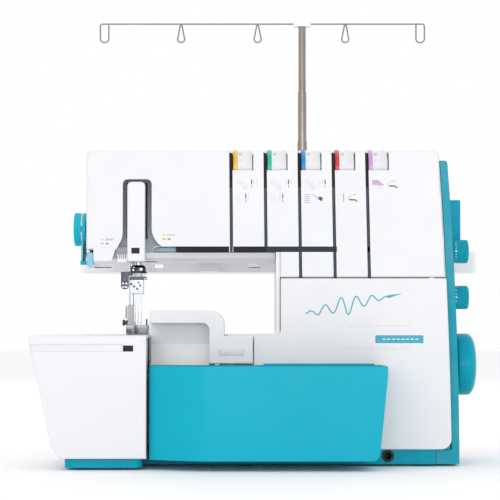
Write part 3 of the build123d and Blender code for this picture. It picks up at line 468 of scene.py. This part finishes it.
# ---------------------------------------------------------------- dials and knobs
for i in range(5):
    number = i + 1
    node_name, body = f"tension_dial_{number}", f"dial_{number}"
    lo, hi = box_mm(node_name)
    centre = ((lo[1] + hi[1]) / 2, (lo[2] + hi[2]) / 2)
    radius = (hi[2] - lo[2]) / 2
    x0, x1 = lo[0], hi[0]
    ring_end = x0 + 4.5
    ring_profile = [(x0, 3.2), (x0, radius - 0.6), (x0 + 0.5, radius), (ring_end - 0.3, radius),
                    (ring_end, radius - 0.3), (ring_end, 3.2)]
    ring = lathe(f"dial_ring_{number}", centre, ring_profile, RINGS[i], body, 128)
    drum_r = radius - 0.7
    drum_profile = [(ring_end, 3.2), (ring_end, drum_r), (ring_end + 5.2, drum_r),
                    (ring_end + 5.4, drum_r - 0.02),
                    (x1 - 0.7, drum_r - 0.02), (x1 - 0.2, drum_r - 0.35), (x1, drum_r - 1.0), (x1, 3.2)]
    drum = lathe(f"dial_drum_{number}", centre, drum_profile, WHITE, body, 240,
                   ribs=(80, 0.22, ring_end + 5.3, x1 - 0.6))
    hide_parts(node_name)
    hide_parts(node_name)


def knob(name, node_name, body, ribs, rib_start):
    """A ribbed control knob that stands for a CAD node on the right-hand side."""
    lo, hi = box_mm(node_name)
    cy, cz = (lo[1] + hi[1]) / 2, (lo[2] + hi[2]) / 2
    r = (hi[1] - lo[1]) / 2
    x1 = hi[0]
    x0 = x1 - 16.0
    profile = [(lo[0], 3.0), (x0, 3.0), (x0, r - 0.5), (x0 + 0.5, r - 0.05), (x0 + rib_start, r - 0.05),
               (x0 + rib_start + 0.3, r), (x1 - 2.2, r)]
    profile += arc_profile(x1 - 2.2, r, x1, r - 2.6, 6)[1:]
    profile += [(x1, r - 4.0), (x1 - 0.7, r - 4.6), (x1 - 0.7, 0.4)]
    obj = lathe(name, (cy, cz), profile, TEAL_KNOB, body, ribs * 6,
                ribs=(ribs, 0.55, x0 + rib_start + 0.2, x1 - 1.0))
    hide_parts(node_name)
    return (x0, cy, cz, r)


for name, node_name, body, dots in (
    ("differential_knob_turned", "differential_knob", "differential",
     (2.36, 2.62, 2.88, 3.14, 3.4, 3.66, 3.92)),
    ("length_knob_turned", "length_knob", "stitch_length", (2.5, 2.9, 3.14, 3.5)),
):
    x0, cy, cz, r = knob(name, node_name, body, 36, 5.6)
    for k, a in enumerate(dots):
        size = 0.9 if abs(a - 3.14) < 0.01 else 0.55
        cx = x0 + 2.8
        outline = [(size * math.cos(t), size * math.sin(t))
                   for t in [2 * math.pi * q / 12 for q in range(12)]]
        verts = []
        for depth in (-0.25, 0.12):
            for u, v in outline:
                angle = a - v / r
                verts.append((cx + u, cy + (r + depth - 0.05) * math.cos(angle),
                              cz + (r + depth - 0.05) * math.sin(angle)))
        faces = [list(range(12)), list(range(12, 24))]
        faces += [[q, (q + 1) % 12, 12 + (q + 1) % 12, 12 + q] for q in range(12)]
        piece(f"{body}_dot_{k + 1}", verts, faces, INK_WHITE, body)

lo, hi = box_mm("pressure_knob")
cy, cz, r = (lo[1] + hi[1]) / 2, (lo[2] + hi[2]) / 2, (hi[2] - lo[2]) / 2
x0 = lo[0]
profile = [(x0 + 0.8, 0.4), (x0 + 0.8, r - 6), (x0, r - 5.2), (x0, r - 1.4)]
profile += [(x0 + 1.4 * (1 - math.cos(t)), r - 1.4 + 1.4 * math.sin(t)) for t in (0.4, 0.8, 1.2, 1.57)]
profile += [(x0 + 5.2, r), (x0 + 5.6, r - 0.25), (x0 + 6.9, r - 0.25), (x0 + 7.4, r - 0.7), (x0 + 7.4, 3.0),
            (hi[0], 3.0), (hi[0], 0.4)]
pressure = lathe("pressure_knob_ribbed", (cy, cz), profile, TEAL_LIGHT_KNOB, "pressure", 40 * 6,
                 ribs=(40, 0.7, x0 + 1.0, x0 + 5.3))
collar = lathe("pressure_knob_collar", (cy, cz),
               [(x0 + 7.4, 3.0), (x0 + 7.4, r - 0.8), (x0 + 8.6, r - 0.8), (x0 + 8.6, 3.0)],
               WHITE, "pressure", 96)
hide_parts("pressure_knob")
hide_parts("pressure_knob")
brick("pressure_knob_index", (x0 + 7.35, x0 + 8.6), (cy - r + 0.2, cy - r + 2), (cz - 3, cz + 2.6),
      TEAL_LIGHT_KNOB, "pressure", 0.2)

lo, hi = box_mm("handwheel")
cy, cz, r = (lo[1] + hi[1]) / 2, (lo[2] + hi[2]) / 2, (hi[2] - lo[2]) / 2
wheel_x0, wheel_x1 = hi[0] - 23.0, hi[0]
profile = [(wheel_x0, 6.0), (wheel_x0, r - 4.5)]
profile += [(wheel_x0 + 2.5 * (1 - math.cos(t)), r - 4.5 + 4.5 * math.sin(t)) for t in (0.4, 0.8, 1.2, 1.57)]
profile += [(wheel_x1 - 10.5, r)]
profile += arc_profile(wheel_x1 - 10.5, r, wheel_x1 - 2.6, r * 0.5, 18)[1:]
profile += [(wheel_x1 - 2.2, r * 0.4), (wheel_x1 - 2.6, r * 0.34), (wheel_x1 - 3.6, r * 0.3),
            (wheel_x1 - 3.8, 0.4)]
wheel = lathe("handwheel_domed", (cy, cz), profile, TEAL_KNOB, "drive_shaft", 144)
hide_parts("handwheel")
# ---------------------------------------------------------------- front panel details
face = box_mm("arm_front_cover")[0][1]  # plane of the arm's front face
dial_left = [box_mm(f"tension_dial_{n}")[0][0] for n in range(1, 6)]
dial_axis = [(box_mm("tension_dial_1")[0][c] + box_mm("tension_dial_1")[1][c]) / 2 for c in (1, 2)]
arm_top = box_mm("arm_front_cover")[1][2]
seam_z = box_mm("lower_front_cover")[1][2] + 0.8


def bar(x0, x1, z0, z1):
    return [(x0, z0), (x1, z0), (x1, z1), (x0, z1)]


def prisms(name, outlines, y0, y1, material, body="machine"):
    """Thin closed plates between two depths, one for each (x, z) outline."""
    verts, faces = [], []
    for outline in outlines:
        n, s = len(outline), len(verts)
        verts += [(x, y, z) for y in (y0, y1) for x, z in outline]
        faces += [[s + k for k in range(n)], [s + n + k for k in range(n)]]
        faces += [[s + k, s + (k + 1) % n, s + n + (k + 1) % n, s + n + k] for k in range(n)]
    return piece(name, verts, faces, material, body, smooth=False)


def strokes(name, paths, width, y0, y1, material, body="machine"):
    """Drawn lines of one width: each path of (x, z) points becomes a thin closed ribbon."""
    verts, faces = [], []
    for path in paths:
        s = len(verts)
        for i, (x, z) in enumerate(path):
            a, b = path[max(i - 1, 0)], path[min(i + 1, len(path) - 1)]
            d = Vector((b[0] - a[0], b[1] - a[1])).normalized()
            for side in (1, -1):
                for y in (y0, y1):
                    verts.append((x - side * d.y * width / 2, y, z + side * d.x * width / 2))
        for i in range(len(path) - 1):
            p, q = s + 4 * i, s + 4 * (i + 1)
            faces += [[p, q, q + 2, p + 2], [p + 1, q + 1, q + 3, p + 3], [p, q, q + 1, p + 1],
                      [p + 2, q + 2, q + 3, p + 3]]
        e = s + 4 * (len(path) - 1)
        faces += [[s, s + 1, s + 3, s + 2], [e, e + 1, e + 3, e + 2]]
    return piece(name, verts, faces, material, body, smooth=False)


def printed(name, outlines, material, y=None, body="machine"):
    y = face if y is None else y
    return prisms(name, outlines, y - 0.06, y + 0.05, material, body)


def drawn(name, paths, width, material, y=None, body="machine"):
    y = face if y is None else y
    return strokes(name, paths, width, y - 0.07, y + 0.05, material, body)


def lining(name, z0, z1, top, foot, material):
    """A U-shaped lining in a slanted thread groove whose middle runs from top to foot, both (x, z)."""
    section = [(-1.58, 0.3), (-1.58, 2.95), (1.58, 2.95), (1.58, 0.3), (1.44, 0.3), (1.44, 2.7),
               (-1.44, 2.7), (-1.44, 0.3)]
    verts = []
    for z in (z0, z1):
        x = foot[0] + (top[0] - foot[0]) * (z - foot[1]) / (top[1] - foot[1])
        verts += [(x + dx, face + dy, z) for dx, dy in section]
    faces = [list(range(8)), list(range(8, 16))] + [[k, (k + 1) % 8, 8 + (k + 1) % 8, 8 + k]
                                                    for k in range(8)]
    return piece(name, verts, faces, material, "machine", smooth=False)


foot_shift = (-1.4, -1.1, -0.6, 0.1, 0.7)
for i, left in enumerate(dial_left):
    foot = (left + foot_shift[i], 215.0 if i < 2 else seam_z - 1)
    top = (left - 2.2, arm_top + 4)
    low = 216.6 if i == 0 else 219.6 if i == 1 else seam_z + 0.1
    lining(f"groove_shade_{i + 1}", 279.0, arm_top - 2.4, top, foot, SLOT_SHADE_BLACK)
    if i < 2 or i == 4:
        lining(f"groove_lining_{i + 1}", low, 279.0, top, foot, NAVY)
    else:
        lining(f"groove_lining_{i + 1}_upper", 219.6, 279.0, top, foot, NAVY)
        lining(f"groove_lining_{i + 1}_lower", low, 213.9, top, foot, NAVY)

slot_left = dial_left[0] - 56.7
# black sheets in the thread slot stand for the shade inside it
slab("level_slot_left", rounded(bar(slot_left, dial_left[0] - 3.9, 213.95, 219.3), [0.3, 1.5, 1.5, 0.3], 5),
     face + 1.2, face + 2.9, SLOT_SHADE_BLACK, "machine", near=0.4)
slab("level_slot_right", rounded(bar(dial_left[0] + 0.5, dial_left[1] - 1.4, 213.95, 219.3), 1.5, 5),
     face + 1.2, face + 2.9, SLOT_SHADE_BLACK, "machine", near=0.4)
slab("level_channel_floor", rounded(bar(dial_left[1] - 1.1, box_mm("thread_channel_liner")[1][0] - 1, 214.15,
                                        219.3),
                                    [0.2, 0.2, 0.2, 0.2], 2), face + 2.7, face + 2.98, CHANNEL, "machine",
                                    near=0.1)
slab("level_slot_rib_left", bar(dial_left[0] - 3.8, dial_left[0] - 3.0, 214.0, 219.4), face + 0.3,
     face + 2.9, WHITE, "machine", near=0.15)
slab("level_slot_rib_right", bar(dial_left[0] - 0.2, dial_left[0] + 0.4, 214.0, 219.4), face + 0.3,
     face + 2.9, WHITE, "machine", near=0.15)

# tongue of the head: black sheets as painted shade in the gaps at both sides, thread hook and needle-guide
# marks
tongue_lo, tongue_hi = box_mm("take_up_cover")
slab("tongue_gap_left", bar(tongue_lo[0] - 1.1, tongue_lo[0] - 0.05, 228.0, tongue_hi[2] - 1), face + 5.6,
     face + 8.5, SLOT_SHADE_BLACK, "machine", near=0.1)
slab("tongue_gap_right", bar(tongue_hi[0] + 0.05, tongue_hi[0] + 1.8, 227.6, tongue_hi[2] - 1), face + 5.6,
     face + 8.5, SLOT_SHADE_BLACK, "machine", near=0.1)
hook_material = plastic("hook_grey", "8296a2", rough=0.35, coat=0.2)
slab("take_up_hook", rounded([(-113.0, 214.4), (slot_left - 0.2, 214.4), (slot_left - 0.2, 219.0),
                              (-105.0, 218.6)],
                             [0.6, 0.8, 0.8, 2], 4), face + 4.0, face + 7.4, hook_material, "machine",
                             near=0.6)
tube("take_up_wire", [(-113.4, face + 4.2, 216.2), (-112.2, face + 3.6, 218.4), (-110.2, face + 3.4, 219.6),
                      (-104.0, face + 3.4, 219.9), (-97.4, face + 3.6, 219.8), (-95.6, face + 5.0, 219.2)],
     0.55, CHROME, "machine")
guide_lo = box_mm("needle_thread_guide")[0]
for i in range(4):
    x = guide_lo[0] + 1.3 + 2.1 * i
    brick(f"guide_eye_{i + 1}", (x + 0.15, x + 0.75), (guide_lo[1] + 0.2, guide_lo[1] + 1.5), (207.5, 210.6),
          BRASS, "machine", 0.15)


# stitch pictures beside the head
def zigzag(x, z, pitch, height, count):
    return [(x + pitch * k, z + (height if k % 2 else 0.0)) for k in range(count)]


for side, x, z in (("left", -165.4, 221.6), ("right", -103.4, 226.2)):
    drawn(f"stitch_yellow_{side}", [zigzag(x, z + 4.2, 1.1, 1.4, 4)], 0.45, INK_ORANGE)
    drawn(f"stitch_blue_{side}", [zigzag(x + 5.2, z + 4.0, 1.5, 1.8, 6)], 0.5, INK_DARK)
    printed(f"stitch_block_{side}", [bar(x, x + 3.9, z, z + 1.1), bar(x + 0.6, x + 3.3, z + 1.1, z + 1.8)],
            INK_YELLOW)
    printed(f"stitch_hook_{side}", [bar(x + 5.2, x + 8.6, z, z + 0.9),
                                    bar(x + 6.0, x + 7.8, z + 0.9, z + 1.8)], INK_TEAL)


# threading pictures under the dials
def fan_picture(number, x, z, material):
    lines = [[(x + 0.2, z - 1.2 * k), (x + 3.8, z - 1.2 * k), (x + 7.0, z - 1.4 * k - 2.2),
              (x + 10.8, z - 1.5 * k - 4.6)]
             for k in range(4)]
    drawn(f"fan_{number}", lines, 0.45, material)
    printed(f"fan_ticks_{number}", [bar(x + 6.6 + 1.4 * k, x + 7.3 + 1.4 * k, z - 9.6, z - 6.4)
                                    for k in range(4)], INK_PALE)


def needle_picture(number, x, z, count, dark):
    def one(k):
        left = x + 2.6 * k
        return [bar(left, left + 1.1, z - 4.6, z), bar(left + 0.3, left + 0.8, z - 8.2, z - 5.4)]

    printed(f"needles_light_{number}", [o for k in range(count) if k != dark for o in one(k)], INK_PALE)
    printed(f"needles_dark_{number}", one(dark), INK_DARK)


def grid_picture(number, x, z, material):
    drawn(f"grid_{number}", [[(x, z - 2.0 * k), (x + 5.6, z - 2.0 * k - 0.5)] for k in range(5)], 0.5,
          material)


def looper_picture(number, x, z, line):
    curve = [(x + 9.4, z - 0.4), (x + 6.0, z - 0.9), (x + 2.4, z - 2.2), (x + 0.4, z - 4.4),
             (x + 1.6, z - 6.2), (x + 5.0, z - 6.4), (x + 9.4, z - 6.4)]
    drawn(f"looper_line_{number}", [curve], 0.5, line)
    drawn(f"looper_hook_{number}", [[(x + 2.2, z - 5.6), (x + 8.4, z - 5.9), (x + 10.2, z - 7.8)]], 1.1,
          INK_DARK)


INK_PALE = ink("ink_pale", "d6d7da")
for i in range(3):
    fan_picture(i + 1, dial_left[i] + 3.0, 286.0, INK_PALE)
    needle_picture(f"upper_{i + 1}", dial_left[i] + 18.2, 286.6, 3, i)
for i in range(2):
    grid_picture(i + 1, dial_left[i] + 3.0, 272.4, INK_PALE)
    needle_picture(f"lower_{i + 1}", dial_left[i] + 12.4, 272.4, 2, i)
grid_picture(3, dial_left[2] + 3.0, 272.0, INK_BLUE)
drawn("chain_arm_line", [[(dial_left[2] + 11.4, 272.2), (dial_left[2] + 12.6, 270.4),
                          (dial_left[2] + 18.0, 267.8)]], 0.6,
      INK_BLUE)
printed("chain_arm_head", [[(dial_left[2] + 16.6, 267.4), (dial_left[2] + 20.4, 264.6),
                            (dial_left[2] + 21.8, 268.4), (dial_left[2] + 18.4, 269.8)]], INK_DARK)
grid_picture(4, dial_left[3] + 3.2, 272.6, INK_PALE)
drawn("grid_red", [[(dial_left[3] + 8.6, 273.0), (dial_left[3] + 8.8, 264.4)]], 0.7, INK_ORANGE)
looper_picture(4, dial_left[3] + 12.0, 272.2, INK_ORANGE)
printed("lilac_band", [[(dial_left[4] + 3.8, 286.2), (dial_left[4] + 9.6, 286.2),
                        (dial_left[4] + 15.6, 281.0),
                        (dial_left[4] + 13.6, 280.4), (dial_left[4] + 3.8, 281.4)]], INK_LILAC)
printed("lilac_ticks", [bar(dial_left[4] + 9.4 + 1.5 * k, dial_left[4] + 10.1 + 1.5 * k, 277.0, 279.6)
                        for k in range(4)],
        INK_PALE)
looper_picture(5, dial_left[4] + 18.4, 286.0, INK_LILAC)


# marks on the tension dials
def on_drum(name, outlines, material, body, radius):
    """Thin raised marks that follow a dial's drum. Outlines are (x, arc length above the front line)."""
    cy, cz = dial_axis
    verts, faces = [], []
    for outline in outlines:
        n, s = len(outline), len(verts)
        for r in (radius - 0.05, radius + 0.07):
            verts += [(x, cy - r * math.cos(t / radius), cz + r * math.sin(t / radius)) for x, t in outline]
        faces += [[s + k for k in range(n)], [s + n + k for k in range(n)]]
        faces += [[s + k, s + (k + 1) % n, s + n + (k + 1) % n, s + n + k] for k in range(n)]
    return piece(name, verts, faces, material, body, smooth=False)


for i, left in enumerate(dial_left):
    body, r = f"dial_{i + 1}", 18.3
    for k in range(9):
        t = (k - 4) * 8.0 + 15.2
        x = left + 6.0
        if k == 4:
            marks = [bar(x, x + 0.6, t - 1.8, t + 1.8), bar(x + 2.4, x + 3.0, t - 1.8, t + 1.8),
                     bar(x + 0.6, x + 2.4, t + 1.2, t + 1.8), bar(x + 0.6, x + 2.4, t - 1.8, t - 1.2)]
            on_drum(f"dial_mark_{i + 1}_{k}", marks, INK_DARK, body, r)
        else:
            on_drum(f"dial_mark_{i + 1}_{k}", [bar(x + 1.1, x + 1.6, t - 1.2, t + 1.2)], INK_GREY, body, r)

# decor on the lower cover: a thread wave with a needle, plain stitch lines and a plain bar
deco = box_mm("lower_front_cover")[0][1]
wave = []
for k in range(161):
    t = k / 160
    swell = min(1.0, 6 * t, 5 * (1 - t))
    burst = math.exp(-((t - 0.5) / 0.12) ** 2)
    height = swell * (4.5 + 5.5 * burst) * math.sin(10.5 * math.pi * t)
    wave.append((40 + 82 * t, 152.5 + 17 * t + height))
drawn("thread_wave", [wave], 1.3, INK_TEAL, deco)
printed("needle_decor", [[(120.8, 168.4), (122.4, 170.8), (136.6, 172.6), (123.2, 167.9)]], INK_TEAL, deco)
dashes = lambda x, z, count, length, gap, height: [
    bar(x + (length + gap) * k, x + (length + gap) * k + length, z, z + height) for k in range(count)]
printed("stitch_line_upper", dashes(82, 139.4, 9, 5.0, 2.2, 1.0), INK_PALE, deco)
printed("stitch_line_lower", dashes(82, 117.0, 9, 5.0, 2.2, 1.0), INK_PALE, deco)
printed("plain_bar", [rounded(bar(109.5, 157.5, 122.9, 130.8), 1.0, 4)], INK_TEAL, deco)
prisms("plain_bar_stitches", dashes(116.5, 126.4, 8, 3.2, 1.5, 0.9), deco - 0.1, deco - 0.03, INK_WHITE)

# panel corner behind the rounded lower corner of the cover, and the chute's curved floor
slab("panel_corner", [(171.0, 17.2), (184.6, 17.2), (183.6, 34.0), (176.0, 34.0)], face + 1.4, face + 5,
     TEAL_LIT_PANEL, "machine", near=0.1)
chute = [(face + 19.0, 122.0), (face + 18.4, 114.0), (face + 16.2, 108.0), (face + 12.0, 104.0),
         (face + 7.0, 102.2), (face + 2.4, 101.4)]
under = [(y + 1.4, z - 0.5) if z > 106 else (y + 0.4, z - 1.2) for y, z in chute]
# the chute floor takes the lighter white as painted light against the shade in the chute
slab("chute_floor", chute + under[::-1], -115.3, -56.2, WHITE_LIFTED, "front_door", plane="yz", near=0.0)

# raised plate on the looper cover
cover = box_mm("looper_cover")[0][1]
emboss = plastic("emboss_grey", "d2d3d7", rough=0.45, coat=0.05, tint=0.97, edge_highlight=1.05)
slab("cover_badge", rounded(bar(-47.0, -21.6, 110.4, 117.4), 0.8, 4), cover - 0.25, cover + 0.2, emboss,
     "front_door", near=0.15)
drawn("cover_badge_wave", [[(-45.5 + 0.5 * k, 115.8 + 2.0 * math.sin(0.75 * k)) for k in range(46)]], 0.7,
      INK_WHITE, cover - 0.26, "front_door")
printed("cover_badge_line", dashes(-46.6, 108.0, 9, 1.9, 1.0, 0.5), INK_PALE, cover, "front_door")

# ---------------------------------------------------------------- needle clamp and presser foot
bar_lo, bar_hi = box_mm("needles")
nx, ny = (bar_lo[0] + bar_hi[0]) / 2, (bar_lo[1] + bar_hi[1]) / 2
group = "needle_bar_group"
clamp = [
    slab("clamp_block", rounded(bar(nx - 8.3, nx + 5.9, 172.5, 189.8), [1.0, 1.0, 0.5, 0.5], 4), ny - 7,
         ny + 7, SATIN, group, near=0.5, far=0.5),
    slab("clamp_cap", rounded(bar(nx - 8.4, nx + 6.0, 186.8, 190.0), 0.4, 3), ny - 7.2, ny - 5.0, DARK_STEEL,
         group, near=0.2),
    slab("clamp_ring", [(nx + (7.2 - 0.9 * (k % 4 > 1)) * math.cos(math.pi * k / 32),
                         ny + (7.2 - 0.9 * (k % 4 > 1)) * math.sin(math.pi * k / 32)) for k in range(64)],
         189.8, 193.9, SATIN, group, plane="xy", near=0.15),
    lathe("clamp_flange", (nx, ny), [(193.8, 3.6), (193.8, 8.9), (194.2, 9.2), (195.0, 9.2), (195.4, 8.9),
                                     (195.4, 3.6)],
          DARK_STEEL, group, 64, axis="z"),
    lathe("clamp_dome", (nx, ny), [(195.4, 3.6), (195.4, 8.2), (198.6, 8.0)] + [
        (198.6 + 3.7 * math.sin(t), 4.0 + 4.0 * math.cos(t)) for t in (0.3, 0.6, 0.9, 1.2,
                                                                       1.57)] + [(202.3, 3.6)],
        DARK_STEEL, group, 64, axis="z"),
    slab("clamp_guide_plate", rounded(bar(nx - 17.0, nx - 9.0, 177.4, 195.2), [3.4, 3.4, 0.6, 1.2], 6),
         ny - 8.4, ny - 7, DARK_STEEL, group, near=0.3),
    slab("clamp_guide_arm", bar(nx - 12.6, nx - 6, 191.4, 195.2), ny - 7.6, ny - 4, DARK_STEEL, group,
         near=0.3),
    lathe("clamp_thumb_screw", (ny, 188.6), [(nx + 5.8, 0.4), (nx + 5.8, 0.9), (nx + 7.0, 0.9),
                                             (nx + 7.0, 1.5),
                                             (nx + 9.0, 1.5), (nx + 9.2, 1.2), (nx + 9.2, 0.4)], SATIN,
                                             group, 32),
]
for item in clamp:
    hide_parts("needle_clamp")
prisms("guide_plate_slots", [bar(nx - 15.8, nx - 10.3, 179.0, 180.3),
                             [(nx - 16.2, 182.4), (nx - 14.4, 185.0), (nx - 13.6, 182.4)],
                             [(nx - 13.0, 182.4), (nx - 11.6, 184.6), (nx - 9.9, 182.4)]],
       ny - 8.46, ny - 8.3, SATIN, group)
prisms("dome_windows", [bar(nx - 4.6, nx - 3.2, 199.0, 200.4), bar(nx - 5.4, nx - 3.4, 196.0, 198.0),
                        rounded(bar(nx + 2.0, nx + 5.2, 196.2, 199.4), 1.4, 4)], ny - 8.26, ny - 6.6, SATIN,
                        group)

toe = box_mm("presser_foot")[0][1]
for k, (x0, x1) in enumerate(((-140.6, -135.4), (-132.0, -128.6))):
    slab(f"foot_sole_{k + 1}", rounded(bar(x0, x1, 133.2, 137.2), 1.0, 3), toe + 1.6, toe + 9, DARK_STEEL,
         "presser_group", near=0.4)
for k in range(6):
    x = -139.4 + 3.3 * k
    slab(f"foot_tooth_{k + 1}", rounded(bar(x, x + 2.0, 131.7, 133.4), 0.7, 3), toe + 5.6, toe + 12,
         DARK_STEEL, "presser_group", near=0.3)
lathe("foot_screw", (toe + 38, 143.2), [(-147.2, 0.4), (-147.2, 2.4), (-146.6, 3.2), (-145.0, 3.2),
                                        (-144.6, 2.0),
                                        (-143.2, 2.0), (-143.0, 3.0), (-141.5, 3.0), (-141.5, 0.4)],
      DARK_STEEL, "presser_group", 40)
tube("foot_spring", [(-143.2 + 0.9 * math.cos(k * 0.7), toe + 37 + 0.9 * math.sin(k * 0.7), 147.4 + 0.22 * k)
                     for k in range(58)],
     0.32, DARK_STEEL, "presser_group", 6)
brick("foot_edge_guide", (-121.7, -120.1), (toe + 14, toe + 16), (140.5, 147.0), DARK_STEEL, "presser_group",
      0.4)

# thread cutter at the head's left side
cut_lo = box_mm("thread_cutter")[0]
knob_lo, knob_hi = box_mm("pressure_knob")
disc = lathe("cutter_disc", ((knob_lo[1] + knob_hi[1]) / 2, (knob_lo[2] + knob_hi[2]) / 2),
             [(cut_lo[0], 3.4), (cut_lo[0], 16.4), (cut_lo[0] + 0.6, 17.0), (cut_lo[0] + 2.7, 17.0),
              (cut_lo[0] + 3.3, 16.4),
              (cut_lo[0] + 3.3, 9.0), (cut_lo[0] + 6.4, 9.0), (cut_lo[0] + 6.4, 3.4)], TEAL_LIGHT_KNOB,
              "machine", 96)
finger = slab("cutter_finger", rounded([(face + 14, 203), (face + 14, 221.6), (face + 40, 224),
                                        (face + 40, 212), (face + 24, 203)],
                                       [1.5, 2, 0.1, 4, 3], 5), cut_lo[0], cut_lo[0] + 1.9, TEAL_PALE,
                                       "machine", plane="yz", near=0.4)
blade = slab("cutter_blade_side", rounded([(face + 14.2, 204), (face + 14.2, 220.4), (face + 40, 223),
                                           (face + 40, 212), (face + 24, 204)],
                                          [1.0, 1, 0.1, 4, 3], 5), cut_lo[0] + 1.9, cut_lo[0] + 3.3,
                                          DEEP_TEAL, "machine", plane="yz", near=0.1)
arm = slab("cutter_arm", bar(cut_lo[0], -174.2, 201.7, 205.5), face + 8.3, face + 20, TEAL_KNOB, "machine",
           near=0.3)
leaf = slab("cutter_leaf", rounded([(-179.2, 213.3), (-172.5, 213.3), (-172.5, 202.4), (-176.0, 197.0),
                                    (-179.2, 202.0)],
                                   [0.5, 0.5, 1, 1, 1], 4), face + 2.6, face + 8.4, TEAL_LEAF, "machine",
                                   near=0.5)
for item in (disc, finger, blade, arm, leaf):
    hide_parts("thread_cutter")

# ---------------------------------------------------------------- camera, light and stage
face_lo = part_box("arm_front_cover")[0]
camera_data = bpy.data.cameras.new("camera")
camera = bpy.data.objects.new("camera", camera_data)
bpy.context.scene.collection.objects.link(camera)
PITCH = math.radians(1.65)
CAMERA_DISTANCE = 1.7  # from the arm's front face
VIEW_WIDTH = 0.5  # what the picture takes in at that face
CAMERA_X, CAMERA_HEIGHT = -0.0155, 0.147
SENSOR_MM = 36.0
camera.location = (CAMERA_X, face_lo.y - CAMERA_DISTANCE, CAMERA_HEIGHT)
camera.rotation_euler = (math.pi / 2 + PITCH, 0.0, 0.0)
camera_data.sensor_width = SENSOR_MM
camera_data.lens = SENSOR_MM * CAMERA_DISTANCE / VIEW_WIDTH
camera_data.shift_y = 0.04
camera_data.clip_start, camera_data.clip_end = 0.1, 50.0
bpy.context.scene.camera = camera


def area_light(name, location, target, size, energy):
    data = bpy.data.lights.new(name, "AREA")
    data.shape = "RECTANGLE"
    data.size, data.size_y = size
    data.energy = energy
    obj = bpy.data.objects.new(name, data)
    bpy.context.scene.collection.objects.link(obj)
    obj.location = location
    obj.rotation_euler = (Vector(target) - Vector(location)).to_track_quat("-Z", "Y").to_euler()


area_light("key", (-1.3, -1.9, 1.5), (0, 0, 0.2), (1.4, 1.4), 4)
area_light("front", (0.2, -2.6, 0.32), (0, 0, 0.14), (2.4, 0.6), 13.5)
area_light("top", (0.0, 0.1, 1.9), (0, 0, 0.2), (2.0, 1.6), 3)
area_light("back", (0.2, 1.8, 1.2), (0, 0, 0.25), (2.0, 1.2), 4)

world = bpy.data.worlds.new("studio")
bpy.context.scene.world = world
world.use_nodes = True
background = next(n for n in world.node_tree.nodes if n.type == "BACKGROUND")
background.inputs["Color"].default_value = (1.0, 1.0, 1.0, 1.0)
background.inputs["Strength"].default_value = 1.0

floor_mesh = bpy.data.meshes.new("floor")
floor_mesh.from_pydata([(-6, -6, 0), (6, -6, 0), (6, 6, 0), (-6, 6, 0)], [], [[0, 1, 2, 3]])
floor = bpy.data.objects.new("floor", floor_mesh)
bpy.context.scene.collection.objects.link(floor)
floor_shader = Shader("floor_paper")
paper = linear("f7f7f8")
floor_shader.link(floor_shader.mix(floor_shader.noise(3.0), paper, scaled(paper, 0.99)), "Base Color")
floor_shader.set(Roughness=0.9)
floor_mesh.materials.append(floor_shader.material)
floor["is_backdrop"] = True

bpy.context.scene.view_settings.view_transform = "Standard"

low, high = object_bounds()
